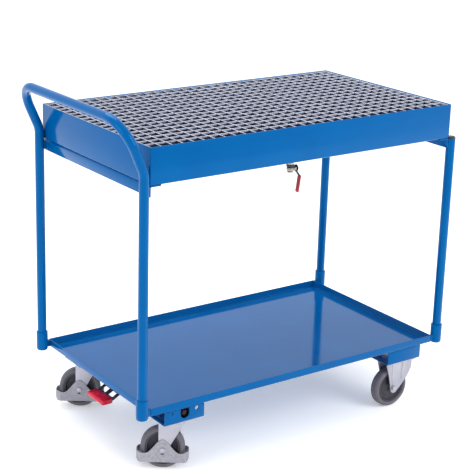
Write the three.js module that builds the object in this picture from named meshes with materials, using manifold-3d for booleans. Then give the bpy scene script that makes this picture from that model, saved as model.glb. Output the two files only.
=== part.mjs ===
import * as THREE from "three";
import { mergeVertices } from "three/addons/utils/BufferGeometryUtils.js";
import Module from "manifold-3d";

// Two-level shelf trolley, millimetres, +Z up. X runs along the trolley with the push handle
// at -X, Y runs across it. Dimensions are laid out from the middle of the tray and shifted at
// the end so that the bounding box is centred over the origin with the wheels at z = 0.
const CENTRE_SHIFT_X = 30;
const CENTRE_SHIFT_Y = -7.2;
const GAP = 0.3;

// frame of bent tube
const TUBE_R = 13.5;
const TUBE_X = 535;
const TUBE_Y = 285.5;
const TUBE_BOTTOM_Z = 206;
const UPRIGHT_TOP_Z = 848;
const CAP_HEIGHT = 6;
const HANDLE_KINK_Z = 884;
const CROSSBAR_X = -596;
const CROSSBAR_Z = 1022;
const KINK_RADIUS = 70;
const CORNER_RADIUS = 82;

// corner sockets that hold the tubes
const SOCKET_R = 17;
const SOCKET_BORE_R = 13.8;
const SOCKET_BOTTOM_Z = 199;
const SOCKET_FLOOR_Z = 205.7;
const SOCKET_TOP_Z = 258;
const SOCKET_CHAMFER = 5;
const LUG_Y = [280.5, 290.5];

// lower tray
const TRAY_HALF_X = 511;
const TRAY_HALF_Y = 291;
const TRAY_BOTTOM_Z = 203;
const TRAY_RIM_Z = 226;
const SHEET = 2.5;

// drip pan and its supports
const PAN_HALF_X = 521;
const PAN_HALF_Y = 292;
const PAN_BOTTOM_Z = 851;
const PAN_RIM_Z = 953;
const ANGLE_DROP = 30;
const ANGLE_REACH = 36;
const ANGLE_THICKNESS = 4;
const ANGLE_HALF_Y = 290;
const LEDGE_LEG = 20;
const LEDGE_THICKNESS = 3;

// grating
const GRATING_TOP_Z = 951;
const GRATING_DEPTH = 25;
const GRATING_HALF_X = 516;
const GRATING_HALF_Y = 287;
const BAND_THICKNESS = 3;
const BAR_THICKNESS = 2.5;
const MESH_PITCH = 33.3;
const CROSS_BAR_DEPTH = 7.7;

// drain valve under the pan
const VALVE_X = 10;
const VALVE_Y = -190;
const VALVE_BORE_R = 5;
const COUPLING_BOTTOM_Z = 834;
const VALVE_BOTTOM_Z = 792;
const VALVE_END_R = 9.5;
const VALVE_BELLY_R = 11.3;
const STEM_Z = 802;
const STEM_R = 3.6;
const VALVE_BOSS_X = 13;
const BALL_R = 8.2;
const BALL_SPACE_R = 9;
const LEVER_ROOT_X = 20;
const LEVER_HALF_Y = 5.5;
const LEVER_SHEET = 2;
const LEVER_KNEE = [LEVER_ROOT_X + 13.5, STEM_Z - 25];
const LEVER_TIP = [LEVER_ROOT_X + 7, STEM_Z - 71];
const GRIP_WALL = 1.2;

// caster carriers: folded channels between tray and casters
const CARRIER_HALF_X = 64.5;
const CARRIER_OUTER_Y = 284;
const CARRIER_INNER_Y = 190;
const CARRIER_BOTTOM_Z = 157;
const CARRIER_TOP_Z = TRAY_BOTTOM_Z - GAP;
const CARRIER_SHEET = 3;
const SWIVEL_CARRIER_X = -395.5;
const FIXED_CARRIER_X = 410;

// casters
const CASTER_Y = 236;
const SWIVEL_X = -390;
const FIXED_AXLE_X = 397;
const FIXED_PLATE_X = 20;
const SWIVEL_TURN_DEG = { near: -35, far: -35 };
const TRAIL = 38;
const WHEEL_R = 62.5;
const TYRE_HALF_W = 16;
const RIM_R = 48.5;
const HUB_HALF_W = 18;
const AXLE_R = 5;
const FORK_INNER_Y = 19;
const FORK_SHEET = 3.5;
const FORK_BACK_X = -49.5;
const FORK_CROWN_Z = 145.5;
const FORK_TOP_Z = 149;
const PLATE_HALF = [52.5, 42.5];
const PLATE_TOP_Z = CARRIER_BOTTOM_Z - GAP;
const PLATE_THICKNESS = 3;
const KINGPIN_R = 10;
const KINGPIN_BOTTOM_Z = 141;
const RACE_BOTTOM_Z = 149.6;
const RACE_R = 27;
const RUNNING_FIT = 0.6;
const PLUNGER_R = 4;
const BRAKE_REACH = 2.5;
const GUARD_INNER_Y = 23;
const GUARD_WALL = 3;
const GUARD_END_X = 74;
const GUARD_SKIRT_Z = [22, 50];
const GUARD_END_TOP_Z = 54;

// central brake
const SHAFT_Z = 180;
const SHAFT_R = 6;
const SHAFT_HALF_Y = 276;
const CAM_R = 15;
const CAM_OFFSET = 7;
const CAM_HALF_Y = 8;
const ARM_HALF_Y = 43;
const TONGUE_HALF_Y = 38;
const PAD_HALF_Y = 43;
const PAD_BACK = 92;
const TONGUE_REACH = 120;
const HANGER_Y = 62;
const HANGER_HALF_THICKNESS = 2;

const wasm = await Module();
wasm.setup();

const trolley = new THREE.Group();
trolley.name = "platform_trolley";

// everything is laid out from the middle of the tray inside this group
const layout = groupAt(trolley, CENTRE_SHIFT_X, CENTRE_SHIFT_Y, 0);

const FINISH = {
  blue: { color: 0x0a5ca8, roughness: 0.35, metalness: 0.1 },
  zinc: { color: 0xb4b8c0, roughness: 0.4, metalness: 0.8 },
  galvanised: { color: 0xc3cbd4, roughness: 0.45, metalness: 0.7 },
  darkSteel: { color: 0x33373c, roughness: 0.5, metalness: 0.6 },
  nickel: { color: 0xc8c2b4, roughness: 0.3, metalness: 0.9 },
  guardGrey: { color: 0xa4a7ae, roughness: 0.6, metalness: 0.2 },
  tyreGrey: { color: 0x85868e, roughness: 0.8, metalness: 0.0 },
  rimDark: { color: 0x3a3b42, roughness: 0.6, metalness: 0.0 },
  black: { color: 0x16171a, roughness: 0.5, metalness: 0.0 },
  red: { color: 0xc01430, roughness: 0.4, metalness: 0.0 },
};

function groupAt(parent, x, y, z) {
  const group = new THREE.Group();
  group.position.set(x, y, z);
  parent.add(group);
  return group;
}

function place(name, geometry, finish, parent = layout) {
  const mesh = new THREE.Mesh(geometry, new THREE.MeshStandardMaterial(FINISH[finish]));
  mesh.name = name;
  parent.add(mesh);
  return mesh;
}

// ---- solid helpers ----

function bare(geometry) {
  const copy = geometry.index ? geometry.toNonIndexed() : geometry.clone();
  copy.deleteAttribute("normal");
  copy.deleteAttribute("uv");
  return mergeVertices(copy, 1e-4);
}

function toManifold(geometry) {
  const merged = bare(geometry);
  return new wasm.Manifold(
    new wasm.Mesh({
      numProp: 3,
      vertProperties: new Float32Array(merged.attributes.position.array),
      triVerts: new Uint32Array(merged.index.array),
    }),
  );
}

function fromManifold(solid) {
  const mesh = solid.getMesh();
  const geometry = new THREE.BufferGeometry();
  geometry.setAttribute("position", new THREE.BufferAttribute(new Float32Array(mesh.vertProperties), 3));
  geometry.setIndex(new THREE.BufferAttribute(new Uint32Array(mesh.triVerts), 1));
  return geometry;
}

function union(first, ...others) {
  return fromManifold(others.reduce((sum, part) => sum.add(toManifold(part)), toManifold(first)));
}

function cut(first, ...others) {
  return fromManifold(others.reduce((rest, part) => rest.subtract(toManifold(part)), toManifold(first)));
}

function box(x0, x1, y0, y1, z0, z1) {
  const geometry = new THREE.BoxGeometry(Math.abs(x1 - x0), Math.abs(y1 - y0), Math.abs(z1 - z0));
  geometry.translate((x0 + x1) / 2, (y0 + y1) / 2, (z0 + z1) / 2);
  return bare(geometry);
}

// axis "x", "y" or "z"; the rod runs from lo to hi along it through the point (a, b)
function rod(axis, a, b, lo, hi, radius, segments = 16) {
  const geometry = new THREE.CylinderGeometry(radius, radius, hi - lo, segments);
  const middle = (lo + hi) / 2;
  if (axis === "y") {
    return bare(geometry.translate(a, middle, b));
  }
  if (axis === "x") {
    return bare(geometry.rotateZ(-Math.PI / 2).translate(middle, a, b));
  }
  return bare(geometry.rotateX(Math.PI / 2).translate(a, b, middle));
}

// profile of [radius, height] pairs turned round the z axis, y axis or x axis
function turned(profile, axis, segments) {
  const points = profile.map(([radius, height]) => new THREE.Vector2(radius, height));
  const geometry = new THREE.LatheGeometry(points, segments);
  if (axis === "z") {
    geometry.rotateX(Math.PI / 2);
  } else if (axis === "x") {
    geometry.rotateZ(-Math.PI / 2);
  }
  return dropSlivers(geometry);
}

// removes the zero-area triangles a lathe leaves where its profile touches the axis
function dropSlivers(geometry) {
  const merged = bare(geometry);
  const kept = [];
  const index = merged.index.array;
  for (let i = 0; i < index.length; i += 3) {
    const [a, b, c] = [index[i], index[i + 1], index[i + 2]];
    if (a !== b && b !== c && a !== c) {
      kept.push(a, b, c);
    }
  }
  merged.setIndex(kept);
  return merged;
}

function shapeOf(points, holes = []) {
  const shape = new THREE.Shape(points.map(([x, y]) => new THREE.Vector2(x, y)));
  for (const hole of holes) {
    shape.holes.push(new THREE.Path(hole.map(([x, y]) => new THREE.Vector2(x, y))));
  }
  return shape;
}

// outline in the XZ plane, extruded along Y from y0 to y1
function slabXZ(points, y0, y1, holes = []) {
  const geometry = new THREE.ExtrudeGeometry(shapeOf(points, holes), {
    depth: y1 - y0,
    bevelEnabled: false,
  });
  geometry.rotateX(Math.PI / 2);
  geometry.translate(0, y1, 0);
  return bare(geometry);
}

// outline in the XY plane, extruded along Z from z0 to z1
function slabXY(points, z0, z1, holes = []) {
  const geometry = new THREE.ExtrudeGeometry(shapeOf(points, holes), {
    depth: z1 - z0,
    bevelEnabled: false,
  });
  return bare(geometry.translate(0, 0, z0));
}

function arc(cx, cy, radius, fromDeg, toDeg, steps) {
  return Array.from({ length: steps + 1 }, (_, i) => {
    const angle = THREE.MathUtils.degToRad(fromDeg + ((toDeg - fromDeg) * i) / steps);
    return [cx + radius * Math.cos(angle), cy + radius * Math.sin(angle)];
  });
}

function circle(cx, cy, radius, segments) {
  return arc(cx, cy, radius, 0, 360 * (1 - 1 / segments), segments - 1);
}

function mirrored(geometry, axis) {
  const scale = [axis === "x" ? -1 : 1, axis === "y" ? -1 : 1, 1];
  const copy = geometry.clone().scale(...scale);
  const index = copy.index.array;
  for (let i = 0; i < index.length; i += 3) {
    [index[i], index[i + 1]] = [index[i + 1], index[i]];
  }
  return copy;
}

// ---- bent tube ----

// a path that puts exactly one ring of the tube on each knot
class KnotPath extends THREE.Curve {
  constructor(knots) {
    super();
    this.knots = knots;
  }

  getPointAt(u) {
    return this.knots[Math.round(u * (this.knots.length - 1))].clone();
  }

  getPoint(u) {
    return this.getPointAt(u);
  }

  getTangentAt(u) {
    const last = this.knots.length - 1;
    const i = Math.round(u * last);
    const before = this.knots[Math.max(i - 1, 0)];
    const after = this.knots[Math.min(i + 1, last)];
    return after.clone().sub(before).normalize();
  }
}

// knots along straight runs joined by bends of the given radii at the inner corners
function bentKnots(corners, radii, stepsPerBend) {
  const knots = [corners[0].clone()];
  for (let i = 1; i < corners.length - 1; i += 1) {
    const into = corners[i].clone().sub(corners[i - 1]).normalize();
    const out = corners[i + 1].clone().sub(corners[i]).normalize();
    const turn = into.angleTo(out);
    const reach = radii[i - 1] * Math.tan(turn / 2);
    const start = corners[i].clone().addScaledVector(into, -reach);
    const toCentre = out.clone().addScaledVector(into, -out.dot(into)).normalize();
    const centre = start.clone().addScaledVector(toCentre, radii[i - 1]);
    const steps = stepsPerBend[i - 1];
    for (let k = 0; k <= steps; k += 1) {
      const angle = (turn * k) / steps;
      knots.push(
        centre
          .clone()
          .addScaledVector(toCentre, -radii[i - 1] * Math.cos(angle))
          .addScaledVector(into, radii[i - 1] * Math.sin(angle)),
      );
    }
  }
  knots.push(corners[corners.length - 1].clone());
  return knots;
}

function bentTube(corners, radii, stepsPerBend) {
  const knots = bentKnots(corners, radii, stepsPerBend);
  const section = shapeOf(circle(0, 0, TUBE_R, 16));
  return bare(
    new THREE.ExtrudeGeometry(section, {
      steps: knots.length - 1,
      bevelEnabled: false,
      extrudePath: new KnotPath(knots),
    }),
  );
}

// ---- frame ----

function addHandleBow() {
  const corners = [
    new THREE.Vector3(-TUBE_X, -TUBE_Y, TUBE_BOTTOM_Z),
    new THREE.Vector3(-TUBE_X, -TUBE_Y, HANDLE_KINK_Z),
    new THREE.Vector3(CROSSBAR_X, -TUBE_Y, CROSSBAR_Z),
    new THREE.Vector3(CROSSBAR_X, TUBE_Y, CROSSBAR_Z),
    new THREE.Vector3(-TUBE_X, TUBE_Y, HANDLE_KINK_Z),
    new THREE.Vector3(-TUBE_X, TUBE_Y, TUBE_BOTTOM_Z),
  ];
  const radii = [KINK_RADIUS, CORNER_RADIUS, CORNER_RADIUS, KINK_RADIUS];
  place("handle_bow", bentTube(corners, radii, [3, 7, 7, 3]), "blue");
}

function addUprights() {
  for (const [tag, side] of [["near", -1], ["far", 1]]) {
    const foot = groupAt(layout, TUBE_X, side * TUBE_Y, 0);
    place(`upright_${tag}`, rod("z", 0, 0, TUBE_BOTTOM_Z, UPRIGHT_TOP_Z, TUBE_R), "blue", foot);
    const cap = turned([[0, 0], [TUBE_R, 0], [TUBE_R, 2.5], [10, CAP_HEIGHT], [0, CAP_HEIGHT]], "z", 16);
    place(`upright_cap_${tag}`, cap, "black", foot).position.z = UPRIGHT_TOP_Z + GAP;
  }
}

function socketShell() {
  return turned(
    [
      [0, SOCKET_BOTTOM_Z],
      [SOCKET_R - SOCKET_CHAMFER, SOCKET_BOTTOM_Z],
      [SOCKET_R, SOCKET_BOTTOM_Z + SOCKET_CHAMFER],
      [SOCKET_R, SOCKET_TOP_Z],
      [SOCKET_BORE_R, SOCKET_TOP_Z],
      [SOCKET_BORE_R, SOCKET_FLOOR_Z],
      [0, SOCKET_FLOOR_Z],
    ],
    "z",
    16,
  );
}

function addSockets() {
  for (const [endTag, end] of [["handle", -1], ["front", 1]]) {
    for (const [sideTag, side] of [["near", -1], ["far", 1]]) {
      const shell = socketShell().translate(end * TUBE_X, side * TUBE_Y, 0);
      const lug = box(
        end * (TUBE_X - 15),
        end * (TRAY_HALF_X + GAP),
        side * LUG_Y[0],
        side * LUG_Y[1],
        TRAY_BOTTOM_Z + 2,
        TRAY_RIM_Z - 1,
      );
      place(`socket_${endTag}_${sideTag}`, union(shell, lug), "blue");
    }
  }
}

function openBox(halfX, halfY, bottom, rim, sheet) {
  const outside = box(-halfX, halfX, -halfY, halfY, bottom, rim);
  const inside = box(sheet - halfX, halfX - sheet, sheet - halfY, halfY - sheet, bottom + sheet, rim + 10);
  return cut(outside, inside);
}

function addTray() {
  const tray = openBox(TRAY_HALF_X, TRAY_HALF_Y, TRAY_BOTTOM_Z, TRAY_RIM_Z, SHEET);
  place("lower_tray", tray, "blue");
}

// ---- drip pan, supports and grating ----

function addSupportAngles() {
  const face = TUBE_X - TUBE_R - GAP;
  const top = PAN_BOTTOM_Z - GAP;
  const outline = [
    [face, top],
    [face - ANGLE_REACH, top],
    [face - ANGLE_REACH, top - ANGLE_THICKNESS],
    [face - ANGLE_THICKNESS, top - ANGLE_THICKNESS],
    [face - ANGLE_THICKNESS, top - ANGLE_DROP],
    [face, top - ANGLE_DROP],
  ];
  const angle = slabXZ(outline, -ANGLE_HALF_Y, ANGLE_HALF_Y);
  place("support_angle_front", angle, "blue");
  place("support_angle_handle", mirrored(angle, "x"), "blue");
}

function addPan() {
  const shell = openBox(PAN_HALF_X, PAN_HALF_Y, PAN_BOTTOM_Z, PAN_RIM_Z, SHEET);
  const drain = rod("z", VALVE_X, VALVE_Y, PAN_BOTTOM_Z - 5, PAN_BOTTOM_Z + 10, VALVE_BORE_R, 16);
  place("drip_pan", cut(shell, drain), "blue");
}

// rectangular ring between two half sizes
function frameRing(outerX, outerY, width, z0, z1) {
  const inner = box(width - outerX, outerX - width, width - outerY, outerY - width, z0 - 5, z1 + 5);
  return cut(box(-outerX, outerX, -outerY, outerY, z0, z1), inner);
}

function addLedge() {
  const halfX = PAN_HALF_X - SHEET - GAP;
  const halfY = PAN_HALF_Y - SHEET - GAP;
  const top = GRATING_TOP_Z - GRATING_DEPTH - GAP;
  const shelf = frameRing(halfX, halfY, LEDGE_LEG, top - LEDGE_THICKNESS, top);
  const apron = frameRing(halfX, halfY, LEDGE_THICKNESS, top - LEDGE_LEG, top);
  place("grating_ledge", union(shelf, apron), "blue");
}

function evenly(half, pitch) {
  const count = Math.floor((2 * half) / pitch);
  return Array.from({ length: count }, (_, i) => (i - (count - 1) / 2) * pitch);
}

// edge band with bearing bars across the pan below and cross bars along it above
function addGrating() {
  const bottom = GRATING_TOP_Z - GRATING_DEPTH;
  const split = GRATING_TOP_Z - CROSS_BAR_DEPTH;
  const innerX = GRATING_HALF_X - BAND_THICKNESS;
  const innerY = GRATING_HALF_Y - BAND_THICKNESS;
  const half = BAR_THICKNESS / 2;
  const band = frameRing(GRATING_HALF_X, GRATING_HALF_Y, BAND_THICKNESS, bottom, GRATING_TOP_Z);
  const bearing = evenly(innerX - 8, MESH_PITCH).map((x) =>
    box(x - half, x + half, -innerY - 1, innerY + 1, bottom + GAP, split - GAP),
  );
  const crossing = evenly(innerY - 8, MESH_PITCH).map((y) =>
    box(-innerX - 1, innerX + 1, y - half, y + half, split, GRATING_TOP_Z - GAP),
  );
  place("grating", union(band, ...bearing, ...crossing), "galvanised");
}

// ---- drain valve ----

function addValve() {
  const valve = groupAt(layout, VALVE_X, VALVE_Y, 0);
  place("drain_coupling", drainCoupling(), "zinc", valve);
  place("valve_body", valveBody(), "nickel", valve);
  place("valve_ball_stem", ballStem(), "nickel", valve);
  const nutEnd = LEVER_ROOT_X - GAP;
  const boreR = STEM_R + RUNNING_FIT;
  const nut = cut(
    rod("x", 0, STEM_Z, VALVE_BOSS_X + GAP, nutEnd, 8.5, 6),
    rod("x", 0, STEM_Z, 0, nutEnd + 5, boreR, 12),
  );
  place("valve_packing_nut", nut, "darkSteel", valve);
  place("valve_lever", valveLever(), "zinc", valve);
  place("valve_grip", leverGrip(), "red", valve);
  place("valve_lever_nut", leverNut(), "darkSteel", valve);
}

function drainCoupling() {
  const top = PAN_BOTTOM_Z - GAP;
  return turned(
    [
      [VALVE_BORE_R, COUPLING_BOTTOM_Z],
      [VALVE_BELLY_R, COUPLING_BOTTOM_Z],
      [VALVE_BELLY_R, top],
      [VALVE_BORE_R, top],
      [VALVE_BORE_R, COUPLING_BOTTOM_Z],
    ],
    "z",
    12,
  );
}

// vertical body with a boss for the stem on +x and a widened space for the ball
function valveBody() {
  const top = COUPLING_BOTTOM_Z - GAP;
  const shell = turned(
    [
      [VALVE_BORE_R, VALVE_BOTTOM_Z],
      [VALVE_END_R, VALVE_BOTTOM_Z],
      [VALVE_END_R, STEM_Z - BALL_SPACE_R],
      [VALVE_BELLY_R, STEM_Z - BALL_SPACE_R + 2],
      [VALVE_BELLY_R, STEM_Z + BALL_SPACE_R - 1],
      [VALVE_END_R, STEM_Z + BALL_SPACE_R + 5],
      [VALVE_END_R, top],
      [VALVE_BORE_R, top],
      [VALVE_BORE_R, VALVE_BOTTOM_Z],
    ],
    "z",
    12,
  );
  const space = turned(
    [
      [0, STEM_Z - BALL_SPACE_R],
      [VALVE_BORE_R, STEM_Z - BALL_SPACE_R],
      [BALL_SPACE_R, STEM_Z - 6],
      [BALL_SPACE_R, STEM_Z + 6],
      [VALVE_BORE_R, STEM_Z + BALL_SPACE_R],
      [0, STEM_Z + BALL_SPACE_R],
    ],
    "z",
    12,
  );
  const boss = rod("x", 0, STEM_Z, VALVE_BORE_R + 2, VALVE_BOSS_X, 7.5, 12);
  const stemBore = rod("x", 0, STEM_Z, 0, VALVE_BOSS_X + 5, STEM_R + RUNNING_FIT, 12);
  return cut(union(shell, boss), space, stemBore);
}

function ballStem() {
  const cap = BALL_R - 0.2;
  const ball = turned(
    [[0, -cap], [4.2, -7], [7, -4.2], [BALL_R, 0], [7, 4.2], [4.2, 7], [0, cap]],
    "x",
    12,
  ).translate(0, 0, STEM_Z);
  const stem = rod("x", 0, STEM_Z, BALL_R - 3, LEVER_ROOT_X + 7, STEM_R, 12);
  return union(ball, stem);
}

// flat strip on the stem, stepped outwards to a knee and leaning back below it
function valveLever() {
  const root = LEVER_ROOT_X;
  const [kneeX, kneeZ] = LEVER_KNEE;
  const [tipX, tipZ] = LEVER_TIP;
  const profile = [
    [root, STEM_Z + 8],
    [root, STEM_Z - 8],
    [kneeX, kneeZ],
    [tipX, tipZ],
    [tipX + LEVER_SHEET, tipZ],
    [kneeX + LEVER_SHEET, kneeZ + 1],
    [root + LEVER_SHEET, STEM_Z - 7],
    [root + LEVER_SHEET, STEM_Z + 8],
  ];
  const stemHole = rod("x", 0, STEM_Z, root - 5, root + 10, STEM_R + GAP, 12);
  return cut(slabXZ(profile, -LEVER_HALF_Y, LEVER_HALF_Y), stemHole);
}

// upright band along the lower part of the lever, grown on both sides, cut off at two heights
function leverBand(grow, low, high) {
  const [kneeX, kneeZ] = LEVER_KNEE;
  const [tipX, tipZ] = LEVER_TIP;
  const along = (z) => tipX + ((kneeX - tipX) * (z - tipZ)) / (kneeZ - tipZ);
  return [
    [along(low) - grow, low],
    [along(low) + LEVER_SHEET + grow, low],
    [along(high) + LEVER_SHEET + grow, high],
    [along(high) - grow, high],
  ];
}

// sleeve pushed over the lower part of the lever
function leverGrip() {
  const [top, bottom] = [LEVER_KNEE[1] - 2, LEVER_TIP[1] - GAP];
  const halfY = LEVER_HALF_Y + GAP + GRIP_WALL;
  const outside = slabXZ(leverBand(GAP + GRIP_WALL, bottom - GRIP_WALL, top), -halfY, halfY);
  const slot = slabXZ(leverBand(GAP, bottom, top + 2), -LEVER_HALF_Y - GAP, LEVER_HALF_Y + GAP);
  return cut(outside, slot);
}

function leverNut() {
  const x0 = LEVER_ROOT_X + LEVER_SHEET + GAP;
  return cut(
    rod("x", 0, STEM_Z, x0, x0 + 3.7, 6, 6),
    rod("x", 0, STEM_Z, x0 - 3, x0 + 7, STEM_R + GAP, 12),
  );
}

// ---- caster carriers ----

function carrierShell(cx) {
  const [x0, x1] = [cx - CARRIER_HALF_X, cx + CARRIER_HALF_X];
  const outside = box(x0, x1, -CARRIER_OUTER_Y, -CARRIER_INNER_Y, CARRIER_BOTTOM_Z, CARRIER_TOP_Z);
  const hollow = box(
    x0 - 5,
    x1 + 5,
    CARRIER_SHEET - CARRIER_OUTER_Y,
    5 - CARRIER_INNER_Y,
    CARRIER_BOTTOM_Z + CARRIER_SHEET,
    CARRIER_TOP_Z - CARRIER_SHEET,
  );
  return cut(outside, hollow);
}

function carrierWindows() {
  const through = (outline) => slabXZ(outline, -CARRIER_OUTER_Y - 5, -CARRIER_OUTER_Y + 8);
  const camX = SWIVEL_CARRIER_X + 1;
  const camHole = [[camX - 14.5, 198], ...arc(camX, 183, 14.5, 180, 360, 8), [camX + 14.5, 198]];
  return [
    through(camHole),
    through(circle(SWIVEL_CARRIER_X - 39.5, 190, 3, 8)),
    through(circle(SWIVEL_CARRIER_X + 40, 191, 6, 12)),
  ];
}

function addCarriers() {
  const pinHole = rod("z", SWIVEL_X, -CASTER_Y, CARRIER_BOTTOM_Z - 5, CARRIER_BOTTOM_Z + 6, 14, 16);
  const swivel = cut(carrierShell(SWIVEL_CARRIER_X), ...carrierWindows(), pinHole);
  place("carrier_swivel_near", swivel, "blue");
  place("carrier_swivel_far", mirrored(swivel, "y"), "blue");
  const fixed = carrierShell(FIXED_CARRIER_X);
  place("carrier_fixed_near", fixed, "blue");
  place("carrier_fixed_far", mirrored(fixed, "y"), "blue");
}

// ---- wheels, shared by all casters; axle along y through the local origin ----

function tyre() {
  return turned(
    [
      [RIM_R + GAP, -13],
      [54, -TYRE_HALF_W],
      [59.5, -TYRE_HALF_W + 1],
      [WHEEL_R, -TYRE_HALF_W + 6],
      [WHEEL_R, TYRE_HALF_W - 6],
      [59.5, TYRE_HALF_W - 1],
      [54, TYRE_HALF_W],
      [RIM_R + GAP, 13],
      [RIM_R + GAP, -13],
    ],
    "y",
    32,
  );
}

function rim() {
  return turned(
    [
      [AXLE_R + GAP, -HUB_HALF_W],
      [12, -HUB_HALF_W],
      [13, -5],
      [37, -4],
      [38.5, -13],
      [RIM_R, -13],
      [RIM_R, 13],
      [38.5, 13],
      [37, 4],
      [13, 5],
      [12, HUB_HALF_W],
      [AXLE_R + GAP, HUB_HALF_W],
      [AXLE_R + GAP, -HUB_HALF_W],
    ],
    "y",
    24,
  );
}

// bolt through the wheel with its head outside -y and its nut outside +y
function axle(face) {
  return turned(
    [
      [0, -face - 6],
      [8, -face - 6],
      [8, -face],
      [AXLE_R, -face],
      [AXLE_R, face],
      [8, face],
      [8, face + 8],
      [AXLE_R, face + 10],
      [0, face + 10],
    ],
    "y",
    12,
  );
}

function basePlate(cx, holes = []) {
  const [hx, hy] = PLATE_HALF;
  const round = 8;
  const corners = [
    ...arc(cx + hx - round, hy - round, round, 0, 90, 2),
    ...arc(cx - hx + round, hy - round, round, 90, 180, 2),
    ...arc(cx - hx + round, round - hy, round, 180, 270, 2),
    ...arc(cx + hx - round, round - hy, round, 270, 360, 2),
  ];
  return slabXY(corners, PLATE_TOP_Z - PLATE_THICKNESS, PLATE_TOP_Z, holes);
}

// ---- swivel caster, local origin on the swivel axis at floor level, wheel trailing to -x ----

function forkLeg(y0, y1) {
  const outline = [
    [FORK_BACK_X, FORK_TOP_Z],
    [FORK_BACK_X, 78],
    ...arc(-TRAIL, WHEEL_R, 15, 180, 330, 8),
    [-15, 76],
    [24, FORK_CROWN_Z],
    [24, FORK_TOP_Z],
  ];
  return slabXZ(outline, y0, y1);
}

function swivelFork() {
  const outer = FORK_INNER_Y + FORK_SHEET;
  const crownOutline = [[FORK_BACK_X, -outer], ...arc(0, 0, 33, -43, 43, 8), [FORK_BACK_X, outer]];
  const crown = slabXY(crownOutline, FORK_CROWN_Z, FORK_TOP_Z);
  const legs = [forkLeg(-outer, -FORK_INNER_Y), forkLeg(FORK_INNER_Y, outer)];
  const pinBore = rod("z", 0, 0, 100, 200, KINGPIN_R + GAP, 16);
  const axleBore = rod("y", -TRAIL, WHEEL_R, -40, 40, AXLE_R + GAP, 12);
  return cut(union(crown, ...legs), pinBore, axleBore);
}

// hollow rivet that carries the fork, with room for the brake plunger
function kingpin() {
  const bore = PLUNGER_R + RUNNING_FIT;
  const flangeR = KINGPIN_R + 4;
  const flangeTop = FORK_CROWN_Z - GAP;
  const top = CARRIER_BOTTOM_Z + 4;
  return turned(
    [
      [bore, KINGPIN_BOTTOM_Z],
      [flangeR, KINGPIN_BOTTOM_Z],
      [flangeR, flangeTop],
      [KINGPIN_R, flangeTop],
      [KINGPIN_R, top],
      [bore, top],
      [bore, KINGPIN_BOTTOM_Z],
    ],
    "z",
    16,
  );
}

// fixed ring of the ball race between plate and fork
function swivelRace() {
  const bore = KINGPIN_R + RUNNING_FIT;
  const chamfer = 2;
  const top = PLATE_TOP_Z - PLATE_THICKNESS - GAP;
  return turned(
    [
      [bore, RACE_BOTTOM_Z],
      [RACE_R - chamfer, RACE_BOTTOM_Z],
      [RACE_R, RACE_BOTTOM_Z + chamfer],
      [RACE_R, top],
      [bore, top],
      [bore, RACE_BOTTOM_Z],
    ],
    "z",
    24,
  );
}

function guardSidePanel(y0, y1) {
  const hill = [
    [-60, 24],
    [-66, 50],
    [-49, 51],
    [-35, 61],
    [-23, 75],
    [-12, 87],
    [0, 92],
    [12, 87],
    [23, 75],
    [35, 61],
    [49, 51],
    [66, 50],
    [60, 24],
  ];
  const axleHole = circle(-TRAIL, WHEEL_R, AXLE_R + GAP, 12);
  return slabXZ(hill.map(([x, z]) => [x - TRAIL, z]), y0, y1, [axleHole]);
}

// skirt ring round the lower half of the wheel with a raised panel on each side
function footGuard() {
  const outer = GUARD_INNER_Y + GUARD_WALL;
  const ring = (endX, halfY, radius) => [
    ...arc(endX - radius - TRAIL, halfY - radius, radius, 0, 90, 3),
    ...arc(-endX + radius - TRAIL, halfY - radius, radius, 90, 180, 3),
    ...arc(-endX + radius - TRAIL, radius - halfY, radius, 180, 270, 3),
    ...arc(endX - radius - TRAIL, radius - halfY, radius, 270, 360, 3),
  ];
  const inside = ring(GUARD_END_X - GUARD_WALL, GUARD_INNER_Y, 11);
  const [skirtBottom, skirtTop] = GUARD_SKIRT_Z;
  const skirt = slabXY(ring(GUARD_END_X, outer, 14), skirtBottom, skirtTop, [inside]);
  const endWall = (side) => {
    const [x0, x1] = [side * (GUARD_END_X - GUARD_WALL) - TRAIL, side * GUARD_END_X - TRAIL];
    return box(x0, x1, -14, 14, skirtTop - 5, GUARD_END_TOP_Z);
  };
  const panels = [guardSidePanel(-outer, -GUARD_INNER_Y), guardSidePanel(GUARD_INNER_Y, outer)];
  return union(skirt, ...panels, endWall(1), endWall(-1));
}

// plunger through the kingpin with a curved shoe above the tyre
function brakeShoe() {
  const stem = rod("z", 0, 0, 121, SHAFT_Z - CAM_R, PLUNGER_R, 12);
  const under = arc(-TRAIL, WHEEL_R, WHEEL_R + BRAKE_REACH, 60, 42, 5);
  const shoe = slabXZ([...under, [9, 122], [-6, 124]], -12, 12);
  return union(stem, shoe);
}

function addSwivelCaster(tag, side) {
  const caster = groupAt(layout, SWIVEL_X, side * CASTER_Y, 0);
  place(`caster_plate_${tag}`, basePlate(0, [circle(0, 0, KINGPIN_R + RUNNING_FIT, 16)]), "zinc", caster);
  place(`swivel_race_${tag}`, swivelRace(), "zinc", caster);
  const turning = groupAt(caster, 0, 0, 0);
  turning.rotation.z = THREE.MathUtils.degToRad(SWIVEL_TURN_DEG[tag]);
  place(`swivel_fork_${tag}`, swivelFork(), "zinc", turning);
  place(`kingpin_${tag}`, kingpin(), "zinc", turning);
  place(`foot_guard_${tag}`, footGuard(), "guardGrey", turning);
  place(`brake_shoe_${tag}`, brakeShoe(), "darkSteel", turning);
  const wheel = groupAt(turning, -TRAIL, 0, WHEEL_R);
  place(`swivel_axle_${tag}`, axle(GUARD_INNER_Y + GUARD_WALL + GAP), "zinc", wheel);
  place(`swivel_rim_${tag}`, rim(), "rimDark", wheel);
  place(`swivel_tyre_${tag}`, tyre(), "tyreGrey", wheel);
}

// ---- fixed caster, local origin under the axle at floor level ----

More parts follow.
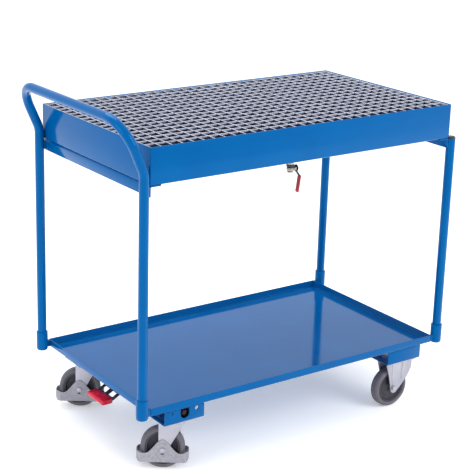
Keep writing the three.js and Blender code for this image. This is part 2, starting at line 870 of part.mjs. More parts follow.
function fixedBracket() {
  const outer = FORK_INNER_Y + FORK_SHEET;
  const top = PLATE_TOP_Z - PLATE_THICKNESS + 1;
  const outline = [
    [-31, top],
    [-30, 140],
    [-18.5, 100],
    ...arc(4, 59, 13.5, 185, 320, 8),
    [28, 62],
    [54, 91],
    [70, 118],
    [71, 140],
    [71, top],
  ];
  const legs = [slabXZ(outline, -outer, -FORK_INNER_Y), slabXZ(outline, FORK_INNER_Y, outer)];
  const crown = box(-31, 71, -outer, outer, top - 5, top);
  const axleBore = rod("y", 0, WHEEL_R, -40, 40, AXLE_R + GAP, 12);
  return cut(union(basePlate(FIXED_PLATE_X), crown, ...legs), axleBore);
}

function addFixedCaster(tag, side) {
  const caster = groupAt(layout, FIXED_AXLE_X, side * CASTER_Y, 0);
  place(`fixed_bracket_${tag}`, fixedBracket(), "zinc", caster);
  const wheel = groupAt(caster, 0, 0, WHEEL_R);
  place(`fixed_axle_${tag}`, axle(FORK_INNER_Y + FORK_SHEET + GAP), "zinc", wheel);
  place(`fixed_rim_${tag}`, rim(), "rimDark", wheel);
  place(`fixed_tyre_${tag}`, tyre(), "tyreGrey", wheel);
}

// ---- central brake ----

function addBrake() {
  const shaft = rod("y", SWIVEL_X, SHAFT_Z, -SHAFT_HALF_Y, SHAFT_HALF_Y, SHAFT_R, 6);
  place("brake_shaft", shaft, "darkSteel");
  // eccentric discs whose low side sits over the plungers
  for (const [tag, side] of [["near", -1], ["far", 1]]) {
    const centre = side * CASTER_Y;
    const disc = rod("y", SWIVEL_X - CAM_OFFSET, SHAFT_Z, centre - CAM_HALF_Y, centre + CAM_HALF_Y, CAM_R, 20);
    const hole = rod("y", SWIVEL_X, SHAFT_Z, centre - 20, centre + 20, SHAFT_R + GAP, 6);
    place(`brake_cam_${tag}`, cut(disc, hole), "red");
  }
  addPedal();
  addShaftHangers();
}

function addPedal() {
  const hub = rod("y", SWIVEL_X, SHAFT_Z, -ARM_HALF_Y, ARM_HALF_Y, 10, 16);
  const band = (grow, reach) => [
    [SWIVEL_X - 6, SHAFT_Z - 4 - grow],
    [SWIVEL_X - 60.5, 162 - grow],
    [SWIVEL_X - 77, 155 - grow],
    [SWIVEL_X - 94.5, 145.2 - grow],
    [SWIVEL_X - reach, 142.2 - grow],
    [SWIVEL_X - reach, 146.2 + grow],
    [SWIVEL_X - 93, 149.2 + grow],
    [SWIVEL_X - 74.5, 159.4 + grow],
    [SWIVEL_X - 59.5, 166 + grow],
    [SWIVEL_X - 6, SHAFT_Z + 2 + grow],
  ];
  const blade = slabXZ(band(0, TONGUE_REACH), -ARM_HALF_Y, ARM_HALF_Y);
  const notches = [-1, 1].map((side) => {
    const [y0, y1] = [side * TONGUE_HALF_Y, side * 60].sort((a, b) => a - b);
    return box(SWIVEL_X - 130, SWIVEL_X - PAD_BACK + 1, y0, y1, 100, 200);
  });
  const slots = [-20, 20].map((y) => box(SWIVEL_X - 88, SWIVEL_X - 70, y - 13, y + 13, 100, 200));
  const bore = rod("y", SWIVEL_X, SHAFT_Z, -80, 80, SHAFT_R + GAP, 6);
  place("pedal_arm", cut(union(hub, blade), ...notches, ...slots, bore), "darkSteel");

  // tread cap pushed over the end of the arm
  const cap = [
    [SWIVEL_X - PAD_BACK, 152.6],
    [SWIVEL_X - 124, 150.6],
    [SWIVEL_X - 129, 147],
    [SWIVEL_X - 129, 142],
    [SWIVEL_X - 125, 139],
    [SWIVEL_X - PAD_BACK, 139],
  ];
  const socket = slabXZ(band(GAP, TONGUE_REACH + GAP), -TONGUE_HALF_Y - GAP, TONGUE_HALF_Y + GAP);
  place("pedal_pad", cut(slabXZ(cap, -PAD_HALF_Y, PAD_HALF_Y), socket), "red");
}

// cheeks that hang the brake shaft from the tray
function addShaftHangers() {
  const top = TRAY_BOTTOM_Z - GAP;
  const outline = [
    [SWIVEL_X - 16, top],
    [SWIVEL_X - 12, SHAFT_Z - 4],
    [SWIVEL_X - 6, SHAFT_Z - 11],
    [SWIVEL_X + 6, SHAFT_Z - 11],
    [SWIVEL_X + 12, SHAFT_Z - 4],
    [SWIVEL_X + 16, top],
  ];
  const hole = circle(SWIVEL_X, SHAFT_Z, SHAFT_R + RUNNING_FIT, 12);
  for (const [tag, side] of [["near", -1], ["far", 1]]) {
    const y = side * HANGER_Y;
    const cheek = slabXZ(outline, y - HANGER_HALF_THICKNESS, y + HANGER_HALF_THICKNESS, [hole]);
    place(`shaft_hanger_${tag}`, cheek, "darkSteel");
  }
}

addTray();
addSockets();
addHandleBow();
addUprights();
addSupportAngles();
addPan();
addLedge();
addGrating();
addValve();
addCarriers();
addSwivelCaster("near", -1);
addSwivelCaster("far", 1);
addFixedCaster("near", -1);
addFixedCaster("far", 1);
addBrake();

export default trolley;
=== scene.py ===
"""Looks of a two-level platform trolley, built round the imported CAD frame.

Lengths in this file are millimetres in the layout frame: x from the middle of the tray with the
handle at -x, y across, z up from the floor. TO_ROW turns them into the row frame in metres.
"""

import math

import bmesh
import bpy
from mathutils import Matrix, Vector


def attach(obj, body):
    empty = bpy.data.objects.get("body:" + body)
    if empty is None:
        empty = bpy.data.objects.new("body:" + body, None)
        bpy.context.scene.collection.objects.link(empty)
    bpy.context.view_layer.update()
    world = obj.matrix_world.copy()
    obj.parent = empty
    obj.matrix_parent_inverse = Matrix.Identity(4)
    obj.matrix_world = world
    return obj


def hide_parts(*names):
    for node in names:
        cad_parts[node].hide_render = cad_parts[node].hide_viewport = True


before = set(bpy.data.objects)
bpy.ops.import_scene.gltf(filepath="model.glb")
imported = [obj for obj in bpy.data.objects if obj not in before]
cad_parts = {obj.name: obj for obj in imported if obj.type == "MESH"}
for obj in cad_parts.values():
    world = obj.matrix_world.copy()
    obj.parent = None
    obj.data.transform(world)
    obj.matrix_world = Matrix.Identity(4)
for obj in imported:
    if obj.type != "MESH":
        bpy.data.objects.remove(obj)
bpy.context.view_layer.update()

TO_ROW = Matrix.Scale(0.001, 4) @ Matrix.Translation((30.0, -7.2, 0.0))
SIDES = (("near", -1), ("far", 1))
ENDS = (("handle", -1), ("front", 1))

TUBE_R, TUBE_X, TUBE_Y = 13.5, 535.0, 285.5
PAN_X, PAN_Y, PAN_Z = 521.0, 292.0, (851.0, 953.0)
TRAY_X, TRAY_Y, TRAY_Z = 511.0, 291.0, (203.0, 226.0)
GRATING_X, GRATING_Y, GRATING_Z = 516.0, 287.0, (926.0, 951.0)
MESH_PITCH = 33.3
CASTER_Y, SWIVEL_X, FIXED_X = 236.0, -390.0, 397.0
SWIVEL_TURN = {"near": -35.0, "far": -35.0}
TRAIL, WHEEL_R = 38.0, 62.5
VALVE = Vector((10.0, -190.0, 0.0))
STEM_Z = 802.0


# ---- mesh building ----


def place_at(x=0.0, y=0.0, z=0.0, turn=0.0):
    return Matrix.Translation((x, y, z)) @ Matrix.Rotation(math.radians(turn), 4, "Z")


def swung(solid, matrix):
    """The same solid moved by a matrix, its faces kept outwards when the matrix mirrors."""
    bmesh.ops.transform(solid, matrix=matrix, verts=solid.verts)
    if matrix.determinant() < 0:
        bmesh.ops.reverse_faces(solid, faces=solid.faces)
    return solid


def round_edges(solid, width, segments=2, angle=40.0):
    """Rounds every edge whose faces meet at more than the angle, in degrees."""
    limit = math.radians(angle)
    edges = [e for e in solid.edges if len(e.link_faces) == 2 and e.calc_face_angle(0.0) > limit]
    bmesh.ops.bevel(
        solid, geom=edges, offset=width, offset_type="OFFSET", segments=segments,
        profile=0.5, affect="EDGES", clamp_overlap=True,
    )
    return solid


def box(lo, hi, edge=0.0, segments=2):
    solid = bmesh.new()
    bmesh.ops.create_cube(solid, size=1.0)
    size = Vector(hi) - Vector(lo)
    middle = (Vector(hi) + Vector(lo)) / 2
    swung(solid, Matrix.Translation(middle) @ Matrix.Diagonal((*size, 1.0)))
    return round_edges(solid, edge, segments) if edge else solid


def arc(cx, cy, radius, start, end, steps):
    """Points on a circle from the start angle to the end angle, in degrees."""
    angles = [math.radians(start + (end - start) * i / steps) for i in range(steps + 1)]
    return [(cx + radius * math.cos(a), cy + radius * math.sin(a)) for a in angles]


def ring(cx, cy, radius, count=32):
    return arc(cx, cy, radius, 0, 360, count)[:-1]


def softened(points, radius, steps=4, closed=True):
    """The polyline with each corner turned into an arc of up to the given radius."""
    result = []
    count = len(points)
    for i, (x, y) in enumerate(points):
        if not closed and i in (0, count - 1):
            result.append((x, y))
            continue
        here = Vector((x, y))
        before = Vector(points[i - 1]) - here
        after = Vector(points[(i + 1) % count]) - here
        reach = min(before.length, after.length) * 0.49
        half = before.angle(after) / 2
        if half > math.radians(88):
            result.append((x, y))
            continue
        cut = min(radius / math.tan(half), reach)
        bend = cut * math.tan(half)
        towards = (before.normalized() + after.normalized()).normalized()
        centre = here + towards * (bend / math.sin(half))
        a = here + before.normalized() * cut - centre
        b = here + after.normalized() * cut - centre
        start = math.atan2(a.y, a.x)
        sweep = (math.atan2(b.y, b.x) - start + math.pi) % (2 * math.pi) - math.pi
        for k in range(steps + 1):
            angle = start + sweep * k / steps
            result.append((centre.x + bend * math.cos(angle), centre.y + bend * math.sin(angle)))
    return result


PLANES = {
    "xy": Matrix.Identity(4),
    "xz": Matrix(((1, 0, 0, 0), (0, 0, 1, 0), (0, 1, 0, 0), (0, 0, 0, 1))),
    "yz": Matrix(((0, 0, 1, 0), (1, 0, 0, 0), (0, 1, 0, 0), (0, 0, 0, 1))),
}


def prism(outline, lo, hi, plane, edge=0.0, segments=2, angle=50.0):
    """Outline in a plane, pushed along the third axis from lo to hi, with its ends' edges rounded."""
    solid = bmesh.new()
    bottom = [solid.verts.new((x, y, lo)) for x, y in outline]
    top = [solid.verts.new((x, y, hi)) for x, y in outline]
    count = len(outline)
    for i in range(count):
        j = (i + 1) % count
        solid.faces.new((bottom[i], bottom[j], top[j], top[i]))
    solid.faces.new(bottom[::-1])
    solid.faces.new(top)
    bmesh.ops.recalc_face_normals(solid, faces=solid.faces)
    if edge:
        round_edges(solid, edge, segments, angle)
    return swung(solid, PLANES[plane])


def plate(outline, holes, lo, hi, plane, edge=0.5):
    """Flat plate with holes and rounded edges, made as a filled outline."""
    curve = bpy.data.curves.new("plate", "CURVE")
    curve.dimensions = "2D"
    curve.fill_mode = "BOTH"
    curve.extrude = (hi - lo) / 2 - edge
    curve.bevel_depth = edge
    curve.bevel_resolution = 1
    curve.offset = -edge
    for loop in (outline, *holes):
        spline = curve.splines.new("POLY")
        spline.points.add(len(loop) - 1)
        for point, (x, y) in zip(spline.points, loop):
            point.co = (x, y, 0.0, 1.0)
        spline.use_cyclic_u = True
    holder = bpy.data.objects.new("plate", curve)
    bpy.context.scene.collection.objects.link(holder)
    mesh = bpy.data.meshes.new_from_object(holder.evaluated_get(bpy.context.evaluated_depsgraph_get()))
    solid = bmesh.new()
    solid.from_mesh(mesh)
    bpy.data.objects.remove(holder)
    bpy.data.curves.remove(curve)
    bpy.data.meshes.remove(mesh)
    bmesh.ops.remove_doubles(solid, verts=solid.verts, dist=0.01)
    swung(solid, Matrix.Translation((0, 0, (lo + hi) / 2)))
    return swung(solid, PLANES[plane])


def lathe(profile, segments=48, axis="z", centre=(0, 0, 0)):
    """(radius, height) profile turned round an axis; it closes on itself or starts and ends on the axis."""
    closed = profile[0] == profile[-1]
    stations = profile[:-1] if closed else profile
    solid = bmesh.new()
    rings = []
    for radius, height in stations:
        if radius < 1e-6:
            rings.append([solid.verts.new((0, 0, height))] * segments)
            continue
        angles = [2 * math.pi * k / segments for k in range(segments)]
        rings.append([solid.verts.new((radius * math.cos(a), radius * math.sin(a), height)) for a in angles])
    pairs = list(zip(rings, rings[1:]))
    if closed:
        pairs.append((rings[-1], rings[0]))
    for one, two in pairs:
        for k in range(segments):
            j = (k + 1) % segments
            corners = []
            for v in (one[k], one[j], two[j], two[k]):
                if v not in corners:
                    corners.append(v)
            if len(corners) > 2:
                solid.faces.new(corners)
    bmesh.ops.recalc_face_normals(solid, faces=solid.faces)
    turns = {
        "z": Matrix.Identity(4),
        "y": Matrix.Rotation(math.radians(-90), 4, "X"),
        "x": Matrix.Rotation(math.radians(90), 4, "Y"),
    }
    return swung(solid, Matrix.Translation(centre) @ turns[axis])


def rod(radius, lo, hi, axis="z", centre=(0, 0, 0), chamfer=0.6, segments=32):
    profile = [
        (0, lo), (radius - chamfer, lo), (radius - 0.3 * chamfer, lo + 0.3 * chamfer), (radius, lo + chamfer),
        (radius, hi - chamfer), (radius - 0.3 * chamfer, hi - 0.3 * chamfer), (radius - chamfer, hi), (0, hi),
    ]
    return lathe(profile, segments, axis, centre)


def hexagon(flats, lo, hi, axis="z", centre=(0, 0, 0), edge=0.5):
    """Hexagonal nut or bolt head with its edges rounded."""
    corner = flats / 2 / math.cos(math.radians(30))
    solid = prism(ring(0, 0, corner, 6), lo, hi, "xy")
    trimmed = round_edges(solid, edge, 2)
    turns = {
        "z": Matrix.Identity(4),
        "y": Matrix.Rotation(math.radians(-90), 4, "X"),
        "x": Matrix.Rotation(math.radians(90), 4, "Y"),
    }
    return swung(trimmed, Matrix.Translation(centre) @ turns[axis])


def bent_path(corners, radii, steps):
    """Points along straight runs joined by bends."""
    points = [Vector(corners[0])]
    for i in range(1, len(corners) - 1):
        here = Vector(corners[i])
        before = (Vector(corners[i - 1]) - here).normalized()
        after = (Vector(corners[i + 1]) - here).normalized()
        half = before.angle(after) / 2
        cut = radii[i - 1] / math.tan(half)
        centre = here + (before + after).normalized() * (radii[i - 1] / math.sin(half))
        a = here + before * cut - centre
        b = here + after * cut - centre
        sweep = a.angle(b)
        for k in range(steps + 1):
            t = k / steps
            points.append(centre + (a * math.sin((1 - t) * sweep) + b * math.sin(t * sweep)) / math.sin(sweep))
    points.append(Vector(corners[-1]))
    return points


def tube(points, radius, segments=40, swell=None):
    """Round bar along points; swell(i) scales its radius at each point."""
    solid = bmesh.new()
    rings = []
    side = None
    for i, point in enumerate(points):
        ahead = points[min(i + 1, len(points) - 1)] - points[max(i - 1, 0)]
        ahead.normalize()
        if side is None:
            side = ahead.orthogonal().normalized()
        side = (side - ahead * side.dot(ahead)).normalized()
        up = ahead.cross(side)
        size = radius * (swell(i) if swell else 1.0)
        angles = [2 * math.pi * k / segments for k in range(segments)]
        rings.append([solid.verts.new(point + (side * math.cos(a) + up * math.sin(a)) * size) for a in angles])
    for one, two in zip(rings, rings[1:]):
        for k in range(segments):
            j = (k + 1) % segments
            solid.faces.new((one[k], one[j], two[j], two[k]))
    solid.faces.new(rings[0][::-1])
    solid.faces.new(rings[-1])
    bmesh.ops.recalc_face_normals(solid, faces=solid.faces)
    return solid


def weld(start, end, radius=2.2):
    """Weld bead with the ripples of its overlapping drops."""
    start, end = Vector(start), Vector(end)
    pitch = 1.2
    count = max(6, int((end - start).length / pitch))
    points = [start.lerp(end, i / count) for i in range(count + 1)]

    def swell(i):
        ends = min(1.0, 0.45 + 0.2 * min(i, count - i))
        return ends * (1.0 + 0.09 * math.sin(i * 2.1) + 0.05 * math.sin(i * 0.83))

    return tube(points, radius, 10, swell)


def folded(points, thickness, bend, steps=5):
    """Outline of a sheet of constant thickness that follows a bent line."""
    line = [Vector(p) for p in softened(points, bend, steps, closed=False)]
    left, right = [], []
    for i, point in enumerate(line):
        ahead = (line[min(i + 1, len(line) - 1)] - line[max(i - 1, 0)]).normalized()
        normal = Vector((-ahead.y, ahead.x)) * (thickness / 2)
        left.append(tuple(point + normal))
        right.append(tuple(point - normal))
    return left + right[::-1]


def rounded_rectangle(half_x, half_y, radius, steps=4):
    corners = ((1, 1, 0), (-1, 1, 90), (-1, -1, 180), (1, -1, 270))
    points = []
    for sx, sy, start in corners:
        points += arc(sx * (half_x - radius), sy * (half_y - radius), radius, start, start + 90, steps)
    return points


def rim_sweep(profile, half_x, half_y, corner, capped):
    """Profile of (inset, z) carried round a rectangle. Capped closes the first and last loops with faces."""
    solid = bmesh.new()
    loops = []
    for inset, z in profile:
        radius = max(corner - inset, 0.4)
        outline = rounded_rectangle(half_x - inset, half_y - inset, radius)
        loops.append([solid.verts.new((x, y, z)) for x, y in outline])
    pairs = list(zip(loops, loops[1:]))
    if not capped:
        pairs.append((loops[-1], loops[0]))
    for one, two in pairs:
        count = len(one)
        for k in range(count):
            j = (k + 1) % count
            solid.faces.new((one[k], one[j], two[j], two[k]))
    if capped:
        solid.faces.new(loops[0])
        solid.faces.new(loops[-1][::-1])
    bmesh.ops.recalc_face_normals(solid, faces=solid.faces)
    return solid


def folded_pan(half_x, half_y, bottom, rim, sheet, bend, corner):
    """Open sheet-metal box with a bent bottom edge and a slightly rounded rim."""
    inner_bend = bend - sheet
    profile = [(bend + 12, bottom + sheet)]
    profile += [(bend - x, bottom + bend - z) for x, z in arc(0, 0, inner_bend, 90, 0, 4)]
    profile += [(sheet, rim - 0.8), (sheet - 0.25, rim - 0.25), (sheet - 0.8, rim)]
    profile += [(0.8, rim), (0.25, rim - 0.25), (0, rim - 0.8)]
    profile += [(bend - x, bottom + bend - z) for x, z in arc(0, 0, bend, 0, 90, 6)]
    profile += [(bend + 12, bottom)]
    return rim_sweep(profile, half_x, half_y, corner, capped=True)


def bored(solid, *cutters):
    """The solid with the cutters taken out of it."""
    holders = []
    for part in (solid, *cutters):
        mesh = bpy.data.meshes.new("cut")
        part.to_mesh(mesh)
        part.free()
        holder = bpy.data.objects.new("cut", mesh)
        bpy.context.scene.collection.objects.link(holder)
        holders.append(holder)
    for cutter in holders[1:]:
        step = holders[0].modifiers.new("cut", "BOOLEAN")
        step.operation = "DIFFERENCE"
        step.solver = "EXACT"
        step.object = cutter
    bpy.context.view_layer.update()
    mesh = bpy.data.meshes.new_from_object(holders[0].evaluated_get(bpy.context.evaluated_depsgraph_get()))
    result = bmesh.new()
    result.from_mesh(mesh)
    bpy.data.meshes.remove(mesh)
    for holder in holders:
        data = holder.data
        bpy.data.objects.remove(holder)
        bpy.data.meshes.remove(data)
    return result


def piece(name, solids, look, body, replaces=(), where=None, smooth=38.0):
    """One visible object made of the solids, riding on a CAD body."""
    joined = bmesh.new()
    for solid in solids:
        mesh = bpy.data.meshes.new("part")
        solid.to_mesh(mesh)
        solid.free()
        joined.from_mesh(mesh)
        bpy.data.meshes.remove(mesh)
    swung(joined, TO_ROW @ (where or Matrix.Identity(4)))
    mesh = bpy.data.meshes.new(name)
    joined.to_mesh(mesh)
    joined.free()
    for polygon in mesh.polygons:
        polygon.use_smooth = True
    mesh.set_sharp_from_angle(angle=math.radians(smooth))
    mesh.materials.append(LOOKS[look])
    made = bpy.data.objects.new(name, mesh)
    bpy.context.scene.collection.objects.link(made)
    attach(made, body)
    if replaces:
        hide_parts(*replaces)
    return made


# ---- materials ----


class Nodes:
    """Short calls for the nodes that the materials share."""

    def __init__(self, name):
        self.material = bpy.data.materials.new(name)
        self.material.use_nodes = True
        self.tree = self.material.node_tree
        self.shader = self.tree.nodes["Principled BSDF"]
        self.coords = self.tree.nodes.new("ShaderNodeTexCoord").outputs["Object"]

    def link(self, source, target):
        self.tree.links.new(source, target)

    def stretched(self, scale):
        mapping = self.tree.nodes.new("ShaderNodeMapping")
        mapping.inputs["Scale"].default_value = scale
        self.link(self.coords, mapping.inputs["Vector"])
        return mapping.outputs["Vector"]

    def noise(self, scale, detail=4.0, rough=0.55, vector=None):
        node = self.tree.nodes.new("ShaderNodeTexNoise")
        node.inputs["Scale"].default_value = scale
        node.inputs["Detail"].default_value = detail
        node.inputs["Roughness"].default_value = rough
        self.link(vector or self.coords, node.inputs["Vector"])
        return node.outputs["Fac"]

    def cells(self, scale, output="Distance", feature="F1"):
        node = self.tree.nodes.new("ShaderNodeTexVoronoi")
        node.feature = feature
        node.inputs["Scale"].default_value = scale
        self.link(self.coords, node.inputs["Vector"])
        return node.outputs[output]

    def ramp(self, value, low, high, start=0.3, end=0.7):
        """Grey values or colours between two stops."""
        node = self.tree.nodes.new("ShaderNodeValToRGB")
        for stop, place, colour in ((0, start, low), (1, end, high)):
            element = node.color_ramp.elements[stop]
            element.position = place
            element.color = (*colour, 1.0) if hasattr(colour, "__len__") else (colour, colour, colour, 1.0)
        self.link(value, node.inputs["Fac"])
        return node.outputs["Color"]

    def bump(self, height, strength, distance):
        node = self.tree.nodes.new("ShaderNodeBump")
        node.inputs["Strength"].default_value = strength
        node.inputs["Distance"].default_value = distance
        self.link(height, node.inputs["Height"])
        self.link(node.outputs["Normal"], self.shader.inputs["Normal"])

    def set(self, **values):
        for key, value in values.items():
            self.shader.inputs[key.replace("_", " ")].default_value = value

    def colour(self, source):
        self.link(source, self.shader.inputs["Base Color"])

    def roughness(self, source):
        self.link(source, self.shader.inputs["Roughness"])


def blue_paint():
    n = Nodes("blue_paint")
    n.colour(n.ramp(n.noise(7.0, 3.0), (0.0, 0.077, 0.26), (0.0, 0.087, 0.284)))
    n.roughness(n.ramp(n.noise(30.0, 3.0), 0.07, 0.12))
    n.set(IOR=1.42, Metallic=0.0, Specular_Tint=(0.1, 0.55, 1.0, 1.0))
    n.bump(n.noise(520.0, 2.0), 0.035, 0.0004)
    return n.material


def galvanised():
    n = Nodes("galvanised")
    spangle = n.ramp(n.cells(95.0, "Color"), (0.42, 0.44, 0.49), (0.66, 0.68, 0.74), 0.1, 0.9)
    n.colour(spangle)
    n.roughness(n.ramp(n.noise(60.0), 0.34, 0.52))
    n.set(Metallic=0.9)
    n.bump(n.noise(420.0, 3.0), 0.12, 0.0004)
    return n.material


def zinc_plate():
    n = Nodes("zinc_plate")
    drawn = n.stretched((1.0, 1.0, 9.0))
    n.colour(n.ramp(n.noise(18.0, 3.0), (0.36, 0.355, 0.41), (0.45, 0.445, 0.5)))
    n.roughness(n.ramp(n.noise(90.0, 4.0, vector=drawn), 0.3, 0.46))
    n.set(Metallic=0.7)
    n.bump(n.noise(300.0, 3.0), 0.06, 0.0003)
    return n.material


def nickel_brass():
    n = Nodes("nickel_brass")
    n.colour(n.ramp(n.noise(60.0, 3.0), (0.26, 0.23, 0.2), (0.42, 0.38, 0.33)))
    n.roughness(n.ramp(n.noise(140.0), 0.16, 0.3))
    n.set(Metallic=1.0)
    n.bump(n.noise(500.0, 3.0), 0.08, 0.0002)
    return n.material


def dark_steel():
    n = Nodes("dark_steel")
    n.colour(n.ramp(n.noise(40.0, 4.0), (0.016, 0.017, 0.02), (0.035, 0.036, 0.042)))
    n.roughness(n.ramp(n.noise(70.0), 0.34, 0.52))
    n.set(Metallic=0.35)
    n.bump(n.noise(600.0, 2.0), 0.1, 0.0003)
    return n.material


def guard_grey():
    n = Nodes("guard_grey")
    n.colour(n.ramp(n.noise(130.0, 5.0), (0.24, 0.236, 0.272), (0.335, 0.33, 0.37)))
    n.roughness(n.ramp(n.noise(200.0), 0.38, 0.55))
    n.set(Metallic=0.25)
    n.bump(n.cells(420.0, "Distance", "SMOOTH_F1"), 0.45, 0.0008)
    return n.material


def tyre_grey():
    n = Nodes("tyre_grey")
    n.colour(n.ramp(n.noise(45.0, 5.0), (0.088, 0.083, 0.1), (0.116, 0.11, 0.13)))
    n.roughness(n.ramp(n.noise(150.0), 0.6, 0.78))
    n.bump(n.noise(900.0, 3.0), 0.25, 0.0004)
    return n.material


def rim_plastic():
    n = Nodes("rim_plastic")
    n.colour(n.ramp(n.noise(50.0, 4.0), (0.02, 0.017, 0.028), (0.032, 0.028, 0.043)))
    n.roughness(n.ramp(n.noise(120.0), 0.42, 0.58))
    n.bump(n.noise(1100.0, 2.0), 0.18, 0.0003)
    return n.material


def black_plastic():
    n = Nodes("black_plastic")
    n.colour(n.ramp(n.noise(80.0, 3.0), (0.009, 0.009, 0.011), (0.02, 0.02, 0.023)))
    n.roughness(n.ramp(n.noise(160.0), 0.35, 0.5))
    n.bump(n.noise(1200.0, 2.0), 0.15, 0.0002)
    return n.material


def red_plastic():
    n = Nodes("red_plastic")
    n.colour(n.ramp(n.noise(35.0, 3.0), (0.5, 0.002, 0.02), (0.6, 0.004, 0.032)))
    n.roughness(n.ramp(n.noise(90.0), 0.22, 0.36))
    n.set(IOR=1.46)
    n.bump(n.noise(800.0, 2.0), 0.1, 0.0003)
    return n.material


def sleeve_red():
    n = Nodes("sleeve_red")
    n.colour(n.ramp(n.noise(90.0, 3.0), (0.3, 0.0015, 0.012), (0.38, 0.003, 0.02)))
    n.roughness(n.ramp(n.noise(140.0), 0.3, 0.45))
    n.bump(n.noise(900.0, 2.0), 0.1, 0.0003)
    return n.material


def red_plastic_painted_shade():
    # A darker copy of the red plastic: painted shade for the shaft caps deep inside the swivel carriers.
    n = Nodes("red_plastic_painted_shade")
    n.colour(n.ramp(n.noise(60.0, 3.0), (0.05, 0.002, 0.004), (0.09, 0.004, 0.008)))
    n.roughness(n.ramp(n.noise(120.0), 0.45, 0.6))
    n.bump(n.noise(900.0, 2.0), 0.12, 0.0003)
    return n.material


def grating_zinc_painted_shade(name, shade_ends_from, shade_ends_to):
    """Galvanised bar with painted shade: dark navy on its sides below a band near the top edge, bright galvanised
    colour along that top edge.
    """
    n = Nodes(name)
    spangle = n.ramp(n.cells(95.0, "Color"), (0.41, 0.43, 0.53), (0.6, 0.62, 0.72), 0.1, 0.9)
    # Object height picks the painted shade: below the band the bar sides are dark navy, above it the top edge keeps
    # the bright spangle.
    split = n.tree.nodes.new("ShaderNodeSeparateXYZ")
    n.link(n.coords, split.inputs[0])
    height = n.tree.nodes.new("ShaderNodeMapRange")
    height.inputs["From Min"].default_value = shade_ends_from
    height.inputs["From Max"].default_value = shade_ends_to
    n.link(split.outputs["Z"], height.inputs["Value"])
    blend = n.tree.nodes.new("ShaderNodeMix")
    blend.data_type = "RGBA"
    n.link(height.outputs["Result"], blend.inputs["Factor"])
    # Dark navy colour: painted shade on the bar sides between the bars.
    n.link(n.ramp(n.noise(50.0), (0.016, 0.021, 0.05), (0.028, 0.035, 0.078)), blend.inputs[6])
    n.link(spangle, blend.inputs[7])
    n.colour(blend.outputs[2])
    n.roughness(n.ramp(n.noise(60.0), 0.36, 0.5))
    n.set(Metallic=0.4)
    n.bump(n.noise(420.0, 3.0), 0.12, 0.0004)
    return n.material


def bearing_bar_zinc_painted_shade():
    return grating_zinc_painted_shade("bearing_bar_zinc_painted_shade", 0.9488, 0.9504)


def cross_bar_zinc_painted_shade():
    return grating_zinc_painted_shade("cross_bar_zinc_painted_shade", 0.9452, 0.9484)


def pale_floor():
    n = Nodes("pale_floor")
    n.colour(n.ramp(n.noise(1.5, 2.0), 0.9, 0.92))
    n.roughness(n.ramp(n.noise(12.0), 0.75, 0.85))
    n.set(Specular_IOR_Level=0.1, Emission_Color=(1.0, 1.0, 1.0, 1.0), Emission_Strength=0.22)
    return n.material


LOOKS = {
    make.__name__: make()
    for make in (
        blue_paint, galvanised, zinc_plate, nickel_brass, dark_steel, guard_grey,
        tyre_grey, rim_plastic, black_plastic, red_plastic, sleeve_red, red_plastic_painted_shade,
        bearing_bar_zinc_painted_shade, cross_bar_zinc_painted_shade,
    )
}


# ---- frame of tubes ----


def build_handle_bow():
    corners = [
        (-TUBE_X, -TUBE_Y, 206), (-TUBE_X, -TUBE_Y, 884), (-596, -TUBE_Y, 1022),
        (-596, TUBE_Y, 1022), (-TUBE_X, TUBE_Y, 884), (-TUBE_X, TUBE_Y, 206),
    ]
    path = bent_path(corners, (70, 82, 82, 70), 20)
    piece("handle_bow_tube", [tube(path, TUBE_R, 48)], "blue_paint", "frame", ["handle_bow"])


def build_uprights():
    for tag, side in SIDES:
        foot = (TUBE_X, side * TUBE_Y, 0)
        post = rod(TUBE_R, 206, 848, centre=foot, chamfer=0.8, segments=48)
        piece(f"upright_tube_{tag}", [post], "blue_paint", "frame", [f"upright_{tag}"])
        corners = [(0, 848.3), (13.4, 848.3), (13.4, 851.0), (10.5, 854.0), (0, 854.2)]
        dome = corners[:1] + softened(corners, 1.2, 3, False)[1:]
        piece(f"upright_plug_{tag}", [lathe(dome, 40, centre=foot)], "black_plastic", "frame", [f"upright_cap_{tag}"])


def build_sockets():
    for end_tag, end in ENDS:
        for side_tag, side in SIDES:
            centre = (end * TUBE_X, side * TUBE_Y, 0)
            wall = [(0, 199), (10.5, 199), (14.6, 200.1), (16.4, 202.4), (17, 206)]
            wall += [(17, 256.6), (16.6, 257.6), (15.7, 258)]
            bore = [(13.8, 258), (13.8, 205.7), (0, 205.7)]
            lug_x = sorted((end * (TUBE_X - 15), end * (TRAY_X + 0.3)))
            lug_y = sorted((side * 280.5, side * 290.5))
            lug = box((lug_x[0], lug_y[0], 205), (lug_x[1], lug_y[1], 225), 0.8)
            edge_x = end * (TRAY_X + 1.2)
            beads = [
                weld((edge_x, side * 280.3, 206), (edge_x, side * 280.3, 224), 1.8),
                weld((end * (TUBE_X - 15.6), side * 291.0, 206), (end * (TUBE_X - 15.6), side * 291.0, 224), 1.6),
                weld((end * (TUBE_X - 15.6), side * 280.0, 206), (end * (TUBE_X - 15.6), side * 280.0, 224), 1.8),
            ]
            node = f"socket_{end_tag}_{side_tag}"
            solids = [lathe(wall + bore, 48, centre=centre), lug, *beads]
            piece(f"{node}_cup", solids, "blue_paint", "frame", [node])


# ---- tray, pan and grating ----


def build_tray():
    shell = folded_pan(TRAY_X, TRAY_Y, TRAY_Z[0], TRAY_Z[1], 2.5, 4.0, 3.0)
    beads = []
    for end in (-1, 1):
        for side in (-1, 1):
            corner = (end * (TRAY_X - 2.6), side * (TRAY_Y - 2.6))
            beads.append(weld((*corner, TRAY_Z[0] + 4), (*corner, TRAY_Z[1] - 2), 1.3))
    piece("lower_tray_sheet", [shell, *beads], "blue_paint", "frame", ["lower_tray"])


